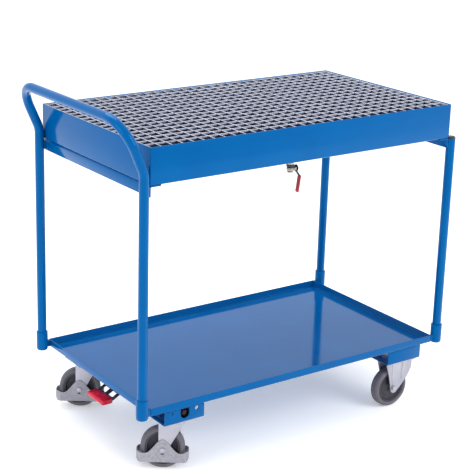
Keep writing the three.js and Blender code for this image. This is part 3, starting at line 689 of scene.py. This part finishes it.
def build_supports():
    for tag, end in ENDS:
        face = TUBE_X - TUBE_R - 0.3
        line = [(face - 36, 848.7), (face - 2, 848.7), (face - 2, 820.7)]
        angle = prism(folded(line, 4.0, 4.0), -290, 290, "xz", 0.5, 2, 60)
        beads = [
            weld((face + 1.0, s * 277.5, 823), (face + 1.0, s * 277.5, 848), 1.8) for s in (-1, 1)
        ]
        solids = [angle, *beads]
        if end < 0:
            turn = Matrix.Rotation(math.pi, 4, "Z")
            solids = [swung(s, turn) for s in solids]
        piece(f"support_angle_{tag}_bar", solids, "blue_paint", "frame", [f"support_angle_{tag}"])


def build_pan():
    shell = folded_pan(PAN_X, PAN_Y, PAN_Z[0], PAN_Z[1], 2.5, 4.5, 3.0)
    hole = rod(5.0, PAN_Z[0] - 5, PAN_Z[0] + 8, centre=VALVE)
    beads = []
    for end in (-1, 1):
        for side in (-1, 1):
            corner = (end * (PAN_X - 2.7), side * (PAN_Y - 2.7))
            beads.append(weld((*corner, PAN_Z[0] + 5), (*corner, PAN_Z[1] - 3), 1.4))
    piece("drip_pan_sheet", [bored(shell, hole), *beads], "blue_paint", "frame", ["drip_pan"])


def build_ledge():
    top = GRATING_Z[0] - 0.3
    line = [(20, top - 1.5), (1.5, top - 1.5), (1.5, top - 20)]
    profile = folded(line, 3.0, 3.0, 3)
    band = rim_sweep(profile, PAN_X - 2.8, PAN_Y - 2.8, 1.5, capped=False)
    piece("grating_ledge_angle", [band], "blue_paint", "frame", ["grating_ledge"])


def spread(half, pitch):
    count = int(2 * half / pitch)
    return [(i - (count - 1) / 2) * pitch for i in range(count)]


def build_grating():
    """Edge band with flush bearing bars across the pan and cross bars let into their tops."""
    low, top = GRATING_Z
    inner_x, inner_y = GRATING_X - 3, GRATING_Y - 3
    edge = 0.35
    band = [(0, low + edge), (edge, low), (3 - edge, low), (3, low + edge)]
    band += [(3, top - edge), (3 - edge, top), (edge, top), (0, top - edge)]
    frame_band = [rim_sweep(band, GRATING_X, GRATING_Y, 1.2, capped=False)]
    for x in spread(inner_x - 8, MESH_PITCH):
        for y in (-inner_y, inner_y):
            frame_band.append(weld((x - 1.6, y, low + 3), (x - 1.6, y, top - 4), 1.1))
    piece("grating_edge_band", frame_band, "galvanised", "lift_out_grating", ["grating"], smooth=30)
    bearing = [
        box((x - 1.25, -inner_y - 0.6, low + 0.3), (x + 1.25, inner_y + 0.6, top - 0.25), 0.3, 1)
        for x in spread(inner_x - 8, MESH_PITCH)
    ]
    piece("grating_bearing_bars", bearing, "bearing_bar_zinc_painted_shade", "lift_out_grating", smooth=30)
    cross = [
        box((-inner_x - 0.6, y - 1.25, top - 7.7), (inner_x + 0.6, y + 1.25, top - 0.2), 0.3, 1)
        for y in spread(inner_y - 8, MESH_PITCH)
    ]
    piece("grating_cross_bars", cross, "cross_bar_zinc_painted_shade", "lift_out_grating", smooth=30)


# ---- drain valve ----


def thread(radius, lo, hi, pitch, depth, centre, axis="z"):
    """Outer surface of a screw thread as stacked grooves."""
    profile = [(0, lo)]
    count = int((hi - lo) / pitch)
    for i in range(count):
        z = lo + i * pitch
        profile += [(radius - depth, z), (radius, z + pitch * 0.35), (radius, z + pitch * 0.6)]
    profile += [(radius - depth, lo + count * pitch), (0, hi)]
    return lathe(profile, 32, axis, centre)


def build_valve():
    centre = tuple(VALVE)
    socket = softened([(5, 834), (12.2, 834), (12.9, 835), (12.9, 849.5), (12.2, 850.6), (5, 850.6)], 0.6, 2)
    seam = [(12.0, 850.7), (15.2, 850.7), (14.6, 849.2), (13.2, 847.6), (12.0, 847.4), (12.0, 850.7)]
    bead = lathe(seam, 40, centre=centre)
    pipe = lathe(socket + socket[:1], 48, centre=centre)
    piece("drain_socket", [pipe, bead], "zinc_plate", "frame", ["drain_coupling"])

    body = softened(
        [(5, 792.4), (8.4, 792.1), (9.1, 792.8), (9.1, 795.2), (8.6, 796.0), (10.4, 798), (11.1, 802), (10.6, 806),
         (8.6, 808.6), (8.6, 813), (9.2, 814.4), (9.2, 833.0), (8.7, 833.6), (5, 833.6)], 0.8, 3)
    shell = lathe(body + body[:1], 48, centre=centre)
    hex_lower = bored(hexagon(17.4, 792.6, 796.0, centre=centre), rod(5.2, 780, 800, centre=centre))
    hex_upper = bored(hexagon(17.8, 814.4, 832.6, centre=centre), rod(5.2, 812, 840, centre=centre))
    stem_centre = (VALVE.x, VALVE.y, STEM_Z)
    boss = lathe([(0, 7), (7.0, 7), (7.0, 11.4), (6.4, 12.6), (0, 12.8)], 32, "x", stem_centre)
    piece("valve_casting", [shell, hex_lower, hex_upper, boss], "nickel_brass", "frame", ["valve_body"])
    gland = hexagon(13.6, 13.3, 19.5, "x", stem_centre, 0.8)
    piece("valve_gland_nut", [gland], "nickel_brass", "frame", ["valve_packing_nut"])
    # Black gasket ring between the body and the upper hexagon; its black also stands in for the shade under the pan's
    # edge, as painted shade.
    gasket_shade_profile = [(8.5, 808.8), (10.9, 808.8), (11.4, 809.4), (11.4, 814.8), (10.9, 815.4), (8.5, 815.4), (8.5, 808.8)]
    piece("valve_gasket_shade_ring", [lathe(gasket_shade_profile, 48, centre=centre)], "black_plastic", "frame")

    stem = [rod(3.5, 6, 20.2, "x", stem_centre, 0.4), thread(3.5, 20.2, 26.8, 0.9, 0.45, stem_centre, "x")]
    ball = lathe([(0, -8)] + [(r, h) for h, r in arc(0, 0, 8.2, 165, 15, 12)] + [(0, 8)], 32, "x", stem_centre)
    piece("valve_stem", [*stem, ball], "nickel_brass", "valve_handle", ["valve_ball_stem"])
    build_valve_lever(stem_centre)


def build_valve_lever(stem_centre):
    x0 = VALVE.x + 20
    knee, tip = (x0 + 13.5, STEM_Z - 25), (x0 + 7, STEM_Z - 71)
    line = [(x0 + 1, STEM_Z + 8), (x0 + 1, STEM_Z - 8), (knee[0] + 1, knee[1]), (tip[0] + 1, tip[1])]
    strip = prism(folded(line, 2.4, 4.0), VALVE.y - 5.5, VALVE.y + 5.5, "xz", 0.5, 2, 60)
    eye_profile = [(3.7, 0), (9.6, 0), (10.2, 0.6), (10.2, 2.0), (9.6, 2.6), (3.7, 2.6), (3.7, 0)]
    eye = lathe(eye_profile, 40, "x", (x0 - 0.2, VALVE.y, STEM_Z))
    piece("valve_lever_strip", [strip], "dark_steel", "valve_handle", ["valve_lever"])
    piece("valve_lever_eye", [eye], "dark_steel", "valve_handle")

    lean = math.degrees(math.atan2(knee[0] - tip[0], knee[1] - tip[1]))
    length = math.hypot(knee[0] - tip[0], knee[1] - tip[1]) - 1
    sleeve = box((-2.7, -6.7, -1.4), (2.7, 6.7, length + 3), 2.3, 4)
    middle = Matrix.Translation((tip[0] + 1, VALVE.y, tip[1])) @ Matrix.Rotation(math.radians(lean), 4, "Y")
    ribs = []
    for i in range(9):
        z = 6 + i * 4.2
        ribs.append(box((-2.95, -4.4, z), (2.95, 4.4, z + 1.6), 0.7))
    solids = [swung(s, middle) for s in (sleeve, *ribs)]
    piece("valve_lever_sleeve", solids, "sleeve_red", "valve_handle", ["valve_grip"])
    nut = bored(hexagon(10.2, 22.9, 26.2, "x", stem_centre, 0.5), rod(3.6, 20, 40, "x", stem_centre))
    piece("valve_lock_nut", [nut], "dark_steel", "valve_handle", ["valve_lever_nut"])


# ---- casters ----


def build_carriers():
    for tag, side in SIDES:
        for kind, cx in (("swivel", -395.5), ("fixed", 410.0)):
            line = [(-190, 158.5), (-282.5, 158.5), (-282.5, 201.2), (-190, 201.2)]
            channel = prism(folded(line, 3.0, 4.0), cx - 64.5, cx + 64.5, "yz", 0.5, 2, 60)
            cutters = []
            if kind == "swivel":
                cam_x = cx + 1
                cam_hole = [(cam_x - 14.5, 198)] + arc(cam_x, 183, 14.5, 180, 360, 24) + [(cam_x + 14.5, 198)]
                cutters = [
                    prism(cam_hole, -295, -270, "xz"),
                    prism(ring(cx - 39.5, 190, 3, 24), -295, -270, "xz"),
                    prism(ring(cx + 40, 191, 6, 32), -295, -270, "xz"),
                    rod(14, 150, 170, centre=(SWIVEL_X, -CASTER_Y, 0)),
                ]
            solid = bored(channel, *cutters) if cutters else channel
            beads = [
                weld((cx + e * 60, -284.2, 203.0), (cx + e * 25, -284.2, 203.0), 1.3) for e in (-1, 1)
            ]
            solids = [solid, *beads]
            if side > 0:
                solids = [swung(s, Matrix.Scale(-1, 4, (0, 1, 0))) for s in solids]
            node = f"carrier_{kind}_{tag}"
            piece(f"{node}_channel", solids, "blue_paint", "frame", [node])


def build_caster_bolts():
    """Four bolts through each base plate and carrier, with their nuts inside the channel."""
    washer = [(4.3, 160.2), (8, 160.2), (8, 161.3), (7.6, 161.7), (4.3, 161.7), (4.3, 160.2)]
    for kind, cx in (("swivel", SWIVEL_X), ("fixed", FIXED_X + 20)):
        for tag, side in SIDES:
            solids = []
            for dx in (-40, 40):
                for dy in (-30, 30):
                    centre = (cx + dx, side * CASTER_Y + dy, 0)
                    solids += [
                        hexagon(12.6, 149.3, 153.5, centre=centre),
                        lathe(washer, 28, centre=centre),
                        hexagon(12.6, 161.8, 167.8, centre=centre),
                        thread(3.9, 167.0, 171.2, 1.25, 0.6, centre),
                    ]
            piece(f"caster_bolts_{kind}_{tag}", solids, "zinc_plate", "frame")


def base_plate(cx, hole_r):
    outline = [(x + cx, y) for x, y in rounded_rectangle(52.5, 42.5, 8, 6)]
    holes = [ring(cx, 0, hole_r, 32)] if hole_r else []
    return plate(outline, holes, 153.7, 156.7, "xy", 0.6)


def wheel_tyre():
    half = [(48.8, 13.0), (49.8, 14.4), (51.6, 15.5), (54, 16), (56.6, 15.3)]
    half += [(59, 13.8), (61, 11.6), (62.1, 9.6), (62.5, 8.2)]
    profile = [(r, -h) for r, h in half] + [(r, h) for r, h in half[::-1]]
    return lathe(profile + profile[:1], 96, "y")


def wheel_rim():
    half = [
        (5.3, 18), (8.6, 18), (9.2, 17.4), (11.4, 17.4), (12.0, 16.6), (12.6, 10.4), (13.8, 8.6), (16, 7.6),
        (20, 6.4), (28, 6.2), (29.4, 7.4), (32.4, 7.4), (33.6, 6.2), (40, 6.6),
        (42, 8.6), (43, 12.4), (43.8, 13.2), (47.7, 13.2), (48.5, 12.6),
    ]
    profile = [(r, -h) for r, h in half] + [(r, h) for r, h in half[::-1]]
    return lathe(profile + profile[:1], 96, "y")


def wheel_bolt(face, head_side=-1):
    """Hexagon head on one side, nut and thread end on the other."""
    outer = face + 0.3
    washer = [(4.9, -outer - 1.6), (8, -outer - 1.6), (8, -outer - 0.1), (4.9, -outer - 0.1), (4.9, -outer - 1.6)]
    solids = [
        rod(4.9, -outer, outer, "y", chamfer=0.2),
        lathe(washer, 32, "y"),
        hexagon(13, -outer - 6, -outer - 1.6, "y"),
        lathe([(0, -outer - 6.2), (4.4, -outer - 6.2), (5.2, -outer - 5.6), (0, -outer - 5.4)], 24, "y"),
        lathe([(4.9, outer), (8, outer), (8, outer + 1.5), (4.9, outer + 1.5), (4.9, outer)], 32, "y"),
        hexagon(13, outer + 1.6, outer + 7.8, "y"),
        thread(4.6, outer + 6.5, outer + 9.6, 1.0, 0.5, (0, 0, 0), "y"),
    ]
    if head_side > 0:
        solids = [swung(s, Matrix.Rotation(math.pi, 4, "Z")) for s in solids]
    return solids


def swivel_fork():
    outer, inner = 22.5, 19.0
    leg = [(-49.5, 143.5), (-49.5, 78)] + arc(-TRAIL, WHEEL_R, 15, 180, 330, 16) + [(-15, 76), (22.9, 143.5)]
    outline = softened(leg, 1.5, 2)
    axle_hole = ring(-TRAIL, WHEEL_R, 5.3, 24)
    solids = [plate(outline, [axle_hole], y0, y0 + 3.5, "xz", 0.6) for y0 in (-outer, inner)]
    for y, sign in ((-outer, -1), (outer, 1)):
        rib = softened([(-42, 141), (-42, 88), (-36, 81), (-23, 81), (-8, 104), (14.5, 141)], 4, 4)
        y0, y1 = sorted((y - sign * 0.4, y + sign * 1.0))
        solids.append(prism(rib, y0, y1, "xz", 0.8, 3))
    crown = [(-49.5, -outer + 3)] + arc(0, 0, 33, -36, 36, 16) + [(-49.5, outer - 3)]
    bore = ring(0, 0, 10.3, 32)
    solids.append(plate(softened(crown, 2, 2), [bore], 145.5, 149, "xy", 0.6))
    for sign in (-1, 1):
        bend = [(sign * (outer - 5.5), 149.0)] + [
            (sign * (outer - 5.5 + x), 143.5 + z) for x, z in arc(0, 0, 5.5, 90, 0, 8)
        ] + [(sign * outer, 142.5), (sign * inner, 142.5), (sign * inner, 145.5), (sign * (outer - 5.5), 145.5)]
        solids.append(prism(bend, -49.5, 24, "yz", 0.4, 1, 60))
    return solids


def swivel_race():
    shell = [(10.6, 149.7), (24.4, 149.7), (26.4, 150.4), (27, 151.6), (27, 153.2), (10.6, 153.2), (10.6, 149.7)]
    solids = [lathe(shell, 64)]
    balls = 26
    for i in range(balls):
        angle = 2 * math.pi * i / balls
        at = Matrix.Translation((25.4 * math.cos(angle), 25.4 * math.sin(angle), 150.2))
        ball = bmesh.new()
        bmesh.ops.create_uvsphere(ball, u_segments=12, v_segments=8, radius=0.9)
        solids.append(swung(ball, at))
    return solids


def kingpin():
    corners = [(4.6, 141), (13.2, 141), (14, 142), (14, 145.1), (10, 145.1), (10, 160.4), (9.4, 161), (4.6, 161)]
    profile = softened(corners, 0.5, 2)
    return [lathe(profile + profile[:1], 48)]


def smooth_step(low, high, value):
    t = min(max((value - low) / (high - low), 0.0), 1.0)
    return t * t * (3 - 2 * t)


def foot_guard():
    """Skirt round the wheel with a raised panel on each side, local to the swivel axis."""
    half_x, outer, wall, corner = 74.0, 26.0, 3.0, 18.0
    outline = rounded_rectangle(half_x, outer, corner, 12)
    dense = []
    for (x0, y0), (x1, y1) in zip(outline, outline[1:] + outline[:1]):
        steps = max(1, int(math.hypot(x1 - x0, y1 - y0) / 2.0))
        dense += [(x0 + (x1 - x0) * k / steps, y0 + (y1 - y0) * k / steps) for k in range(steps)]

    def top_of(x):
        span = abs(x)
        hill = 41.5 * (1 - smooth_step(0, 49, span))
        return 50.5 + hill + 3.5 * smooth_step(52, 70, span)

    def bottom_of(x):
        span = abs(x)
        turn = min(max((span - 62.0) / 12.0, 0.0), 1.0)
        return 22.0 + 1.0 * (1 - smooth_step(30, 36, span)) + 11.0 * (1 - math.sqrt(1 - turn * turn))

    rows = 14
    solid = bmesh.new()
    columns = []
    count = len(dense)
    for i, (x, y) in enumerate(dense):
        ahead = Vector(dense[(i + 1) % count]) - Vector(dense[i - 1])
        normal = Vector((ahead.y, -ahead.x)).normalized()
        low, high = bottom_of(x), top_of(x)
        column = []
        swell = [(0.9, low), (0.25, low + 0.3), (0.0, low + 1.0)]
        swell += [(0.0, low + 1.0 + (high - low - 2.0) * k / rows) for k in range(1, rows)]
        swell += [(0.0, high - 1.0), (0.3, high - 0.3), (1.1, high)]
        swell += [(wall - 1.1, high), (wall - 0.3, high - 0.3), (wall, high - 1.0)]
        swell += [(wall, low + 1.0), (wall - 0.3, low + 0.3), (wall - 0.9, low)]
        for inset, z in swell:
            column.append(solid.verts.new((x - normal.x * inset - TRAIL, y - normal.y * inset, z)))
        columns.append(column)
    size = len(columns[0])
    for one, two in zip(columns, columns[1:] + columns[:1]):
        for k in range(size):
            j = (k + 1) % size
            solid.faces.new((one[k], two[k], two[j], one[j]))
    bmesh.ops.recalc_face_normals(solid, faces=solid.faces)
    slot_corners = [(-4.5 - TRAIL, 47.1), (4.5 - TRAIL, 47.1), (4.5 - TRAIL, 51.9), (-4.5 - TRAIL, 51.9)]
    slot = prism(softened(slot_corners, 2.0, 4), -30, 30, "xz")
    solids = [solid]
    for side in (-1, 1):
        y0, y1 = sorted((side * 25.6, side * 27.0))
        face = [(0, y0), (18.6, y0), (20.6, y0 + 0.7), (20.6, y1 - 0.7), (19.6, y1), (0, y1)]
        solids.append(lathe(face, 48, "y", (-TRAIL, 0, WHEEL_R)))
    return [bored(part, slot.copy()) for part in solids]


def brake_shoe():
    under = arc(-TRAIL, WHEEL_R, WHEEL_R + 2.6, 60, 42, 10)
    shoe = prism([*under, (9, 122), (-6, 124)], -12, 12, "xz", 0.7, 2, 40)
    return [rod(3.9, 121, 165, chamfer=1.0, segments=24), shoe]


def build_swivel_casters():
    for tag, side in SIDES:
        spot = place_at(SWIVEL_X, side * CASTER_Y)
        turned = place_at(SWIVEL_X, side * CASTER_Y, turn=SWIVEL_TURN[tag])
        wheel = turned @ Matrix.Translation((-TRAIL, 0, WHEEL_R))
        body, rolling = f"swivel_{tag}", f"swivel_wheel_{tag}"
        piece(f"caster_plate_{tag}_sheet", [base_plate(0, 10.6)], "zinc_plate", "frame", [f"caster_plate_{tag}"], spot)
        piece(f"swivel_race_{tag}_ring", swivel_race(), "zinc_plate", "frame", [f"swivel_race_{tag}"], spot)
        piece(f"swivel_fork_{tag}_press", swivel_fork(), "zinc_plate", body, [f"swivel_fork_{tag}"], turned)
        piece(f"kingpin_{tag}_rivet", kingpin(), "zinc_plate", body, [f"kingpin_{tag}"], turned)
        piece(f"foot_guard_{tag}_cast", foot_guard(), "guard_grey", body, [f"foot_guard_{tag}"], turned)
        piece(f"swivel_axle_{tag}_bolt", wheel_bolt(26.0), "zinc_plate", body, [f"swivel_axle_{tag}"], wheel)
        plunger = f"brake_plunger_{tag}"
        piece(f"brake_shoe_{tag}_press", brake_shoe(), "dark_steel", plunger, [f"brake_shoe_{tag}"], turned)
        piece(f"swivel_rim_{tag}_disc", [wheel_rim()], "rim_plastic", rolling, [f"swivel_rim_{tag}"], wheel)
        piece(f"swivel_tyre_{tag}_band", [wheel_tyre()], "tyre_grey", rolling, [f"swivel_tyre_{tag}"], wheel)


def fixed_bracket():
    outer, inner = 22.5, 19.0
    leg = [(-31, 152), (-30, 140), (-18.5, 100)] + arc(4, 59, 13.5, 185, 320, 16)
    leg += [(28, 62), (54, 91), (70, 118), (71, 140), (71, 152)]
    outline = softened(leg, 1.5, 2)
    axle_hole = ring(0, WHEEL_R, 5.3, 24)
    solids = [plate(outline, [axle_hole], y0, y0 + 3.5, "xz", 0.6) for y0 in (-outer, inner)]
    for y, sign in ((-outer, -1), (outer, 1)):
        y0, y1 = sorted((y - sign * 0.4, y + sign * 1.2))
        ribs = (
            [(-9, 149), (-8, 92), (-4, 78), (6, 75), (15, 80), (21, 94), (25, 149)],
            [(33, 149), (30, 104), (30, 88), (34, 84), (39, 94), (46, 149)],
        )
        for rib in ribs:
            solids.append(prism(softened(rib, 5, 3), y0, y1, "xz", 1.1, 3))
    for sign in (-1, 1):
        bend = [(sign * (outer + 2.5), 153.9), (sign * inner, 153.9), (sign * inner, 148), (sign * outer, 148)] + [
            (sign * (outer + 2.5 + x), 150.6 + z) for x, z in arc(0, 0, 2.5, 180, 90, 5)
        ]
        solids.append(prism(bend, -31, 71, "yz", 0.3, 1, 60))
    solids.append(base_plate(20, 0))
    return solids


def build_fixed_casters():
    for tag, side in SIDES:
        spot = place_at(FIXED_X, side * CASTER_Y)
        wheel = place_at(FIXED_X, side * CASTER_Y, WHEEL_R)
        rolling = f"fixed_wheel_{tag}"
        piece(f"fixed_bracket_{tag}_press", fixed_bracket(), "zinc_plate", "frame", [f"fixed_bracket_{tag}"], spot)
        piece(f"fixed_axle_{tag}_bolt", wheel_bolt(22.5), "zinc_plate", "frame", [f"fixed_axle_{tag}"], wheel)
        piece(f"fixed_rim_{tag}_disc", [wheel_rim()], "rim_plastic", rolling, [f"fixed_rim_{tag}"], wheel)
        piece(f"fixed_tyre_{tag}_band", [wheel_tyre()], "tyre_grey", rolling, [f"fixed_tyre_{tag}"], wheel)


# ---- central brake ----


def build_brake():
    shaft = hexagon(10.3, -276, 276, "y", (SWIVEL_X, 0, 180), 0.4)
    piece("brake_shaft_bar", [shaft], "dark_steel", "brake_pedal", ["brake_shaft"])
    for tag, side in SIDES:
        y = side * CASTER_Y
        disc = rod(14.9, y - 7.9, y + 7.9, "y", (SWIVEL_X - 7, 0, 180), 0.8, 48)
        hole = prism([(x + SWIVEL_X, z + 180) for x, z in ring(0, 0, 6.2, 6)], y - 12, y + 12, "xz")
        piece(f"brake_cam_{tag}_disc", [bored(disc, hole)], "red_plastic", "brake_pedal", [f"brake_cam_{tag}"])
    build_pedal()
    for tag, side in SIDES:
        # Black bearing blocks round the shaft inside the swivel carriers; their black also stands in for the shade
        # inside the channels, as painted shade.
        y0, y1 = sorted((side * 250, side * 262))
        block = box((SWIVEL_X - 30, y0, 160.2), (SWIVEL_X + 31, y1, 199.4), 1.5, 3)
        block = bored(block, rod(6.8, -300, 300, "y", (SWIVEL_X, 0, 180)))
        piece(f"shaft_bearing_and_shade_{tag}_block", [block], "black_plastic", "frame")
        # Shaft end caps in the darker red copy, which paints the shade inside the carriers.
        y0, y1 = sorted((side * 262.5, side * 274))
        cap = lathe([(0, y0), (7.6, y0), (7.6, y1 - 1.2), (6.4, y1), (0, y1)], 40, "y", (SWIVEL_X, 0, 180))
        bore = prism([(x + SWIVEL_X, z + 180) for x, z in ring(0, 0, 6.1, 6)], -276.6, 276.6, "xz")
        piece(f"shaft_cap_{tag}_red", [bored(cap, bore)], "red_plastic_painted_shade", "brake_pedal")
    for tag, side in SIDES:
        y = side * 62
        cheek = [(-16, 202.5), (-12, 176), (-6, 169.2), (6, 169.2), (12, 176), (16, 202.5)]
        outline = softened([(x + SWIVEL_X, z) for x, z in cheek], 3, 3)
        hanger = plate(outline, [ring(SWIVEL_X, 180, 6.6, 24)], y - 2, y + 2, "xz", 0.5)
        piece(f"shaft_hanger_{tag}_cheek", [hanger], "dark_steel", "frame", [f"shaft_hanger_{tag}"])


def build_pedal():
    hub = bored(
        rod(10, -43, 43, "y", (SWIVEL_X, 0, 180), 0.8, 40),
        prism([(x + SWIVEL_X, z + 180) for x, z in ring(0, 0, 6.3, 6)], -60, 60, "xz"),
    )
    bends = ((-8, 178.4), (-60, 164), (-75.5, 157.3), (-93.5, 147.2), (-119.5, 144.2))
    line = [(SWIVEL_X + x, z) for x, z in bends]
    blade = prism(folded(line, 4.0, 9.0), -43, 43, "xz", 0.6, 2, 60)
    slots = [box((SWIVEL_X - 88, y - 13, 100), (SWIVEL_X - 70, y + 13, 200)) for y in (-20, 20)]
    tongue = [box((SWIVEL_X - 130, y - 4, 100), (SWIVEL_X - 91.5, y + 4, 200)) for y in (-42, 42)]
    blade = bored(blade, *slots, *tongue)
    piece("pedal_arm_blade", [hub, blade], "dark_steel", "brake_pedal", ["pedal_arm"])

    pad = [(-91.8, 152.6), (-124, 150.6), (-129, 147), (-129, 142), (-125, 139), (-91.8, 139)]
    outline = softened([(x + SWIVEL_X, z) for x, z in pad], 2.0, 3)
    corners = []
    for sign in (-1, 1):
        edge = [(-90, 39.6), (-100, 43.2)] + arc(-122, 36, 7, 90, 180, 8) + [(-136, 36), (-136, 60), (-90, 60)]
        corners.append(prism([(x + SWIVEL_X, sign * y) for x, y in edge], 120, 170, "xy"))
    tread = round_edges(bored(prism(outline, -43, 43, "xz"), *corners), 1.3, 2, 32)
    lean = math.atan2(152.6 - 150.6, 32.2)
    ribs = []
    for i in range(4):
        x = -101.5 - i * 6.2
        rib = box((-1.1, -33, -0.6), (1.1, 33, 0.7), 0.6)
        height = 152.6 + (x + 91.8) * math.tan(lean)
        ribs.append(swung(rib, Matrix.Translation((SWIVEL_X + x, 0, height)) @ Matrix.Rotation(-lean, 4, "Y")))
    piece("pedal_pad_tread", [tread, *ribs], "red_plastic", "brake_pedal", ["pedal_pad"])


# ---- surroundings ----


def build_floor():
    bpy.ops.mesh.primitive_grid_add(x_subdivisions=4, y_subdivisions=4, size=60.0, location=(0, 0, -0.0004))
    floor = bpy.context.object
    floor.name = "studio_floor"
    floor.data.materials.append(pale_floor())


def build_lights():
    world = bpy.data.worlds.new("studio")
    bpy.context.scene.world = world
    world.use_nodes = True
    background = world.node_tree.nodes["Background"]
    background.inputs["Color"].default_value = (0.97, 0.985, 1.0, 1.0)
    background.inputs["Strength"].default_value = 1.06
    softboxes = (
        ("key_softbox", (1.6, -3.4, 2.6), 2.4, 85.0),
        ("top_softbox", (-0.6, 1.2, 3.4), 2.2, 55.0),
        ("side_softbox", (-3.6, -0.6, 1.9), 1.8, 30.0),
    )
    for name, spot, size, power in softboxes:
        light = bpy.data.lights.new(name, "AREA")
        light.shape = "SQUARE"
        light.size = size
        light.energy = power
        holder = bpy.data.objects.new(name, light)
        holder.location = spot
        aim = Vector((0, 0, 0.5)) - Vector(spot)
        holder.rotation_euler = aim.to_track_quat("-Z", "Y").to_euler()
        bpy.context.scene.collection.objects.link(holder)


def build_camera():
    """Stands left of the near side, a little above the grating, with a slight roll."""
    azimuth, elevation, roll = -0.593227, 0.301408, 0.019843
    back = Vector((
        math.sin(azimuth) * math.cos(elevation), -math.cos(azimuth) * math.cos(elevation), math.sin(elevation),
    ))
    level = Vector((math.cos(azimuth), math.sin(azimuth), 0))
    upward = back.cross(level)
    right = math.cos(roll) * level + math.sin(roll) * upward
    up = -math.sin(roll) * level + math.cos(roll) * upward
    rotation = Matrix((right, up, back)).transposed().to_4x4()
    data = bpy.data.cameras.new("camera")
    data.sensor_width = 36.0
    data.lens = 103.703
    data.shift_x = 0.0992
    data.shift_y = -0.0401
    data.clip_end = 200.0
    camera = bpy.data.objects.new("camera", data)
    camera.matrix_world = Matrix.Translation((-2.27539, -3.13015, 1.80887)) @ rotation
    bpy.context.scene.collection.objects.link(camera)
    bpy.context.scene.camera = camera


bpy.context.scene.view_settings.view_transform = "Standard"
build_handle_bow()
build_uprights()
build_sockets()
build_tray()
build_supports()
build_pan()
build_ledge()
build_grating()
build_valve()
build_carriers()
build_caster_bolts()
build_swivel_casters()
build_fixed_casters()
build_brake()
build_floor()
build_lights()
build_camera()
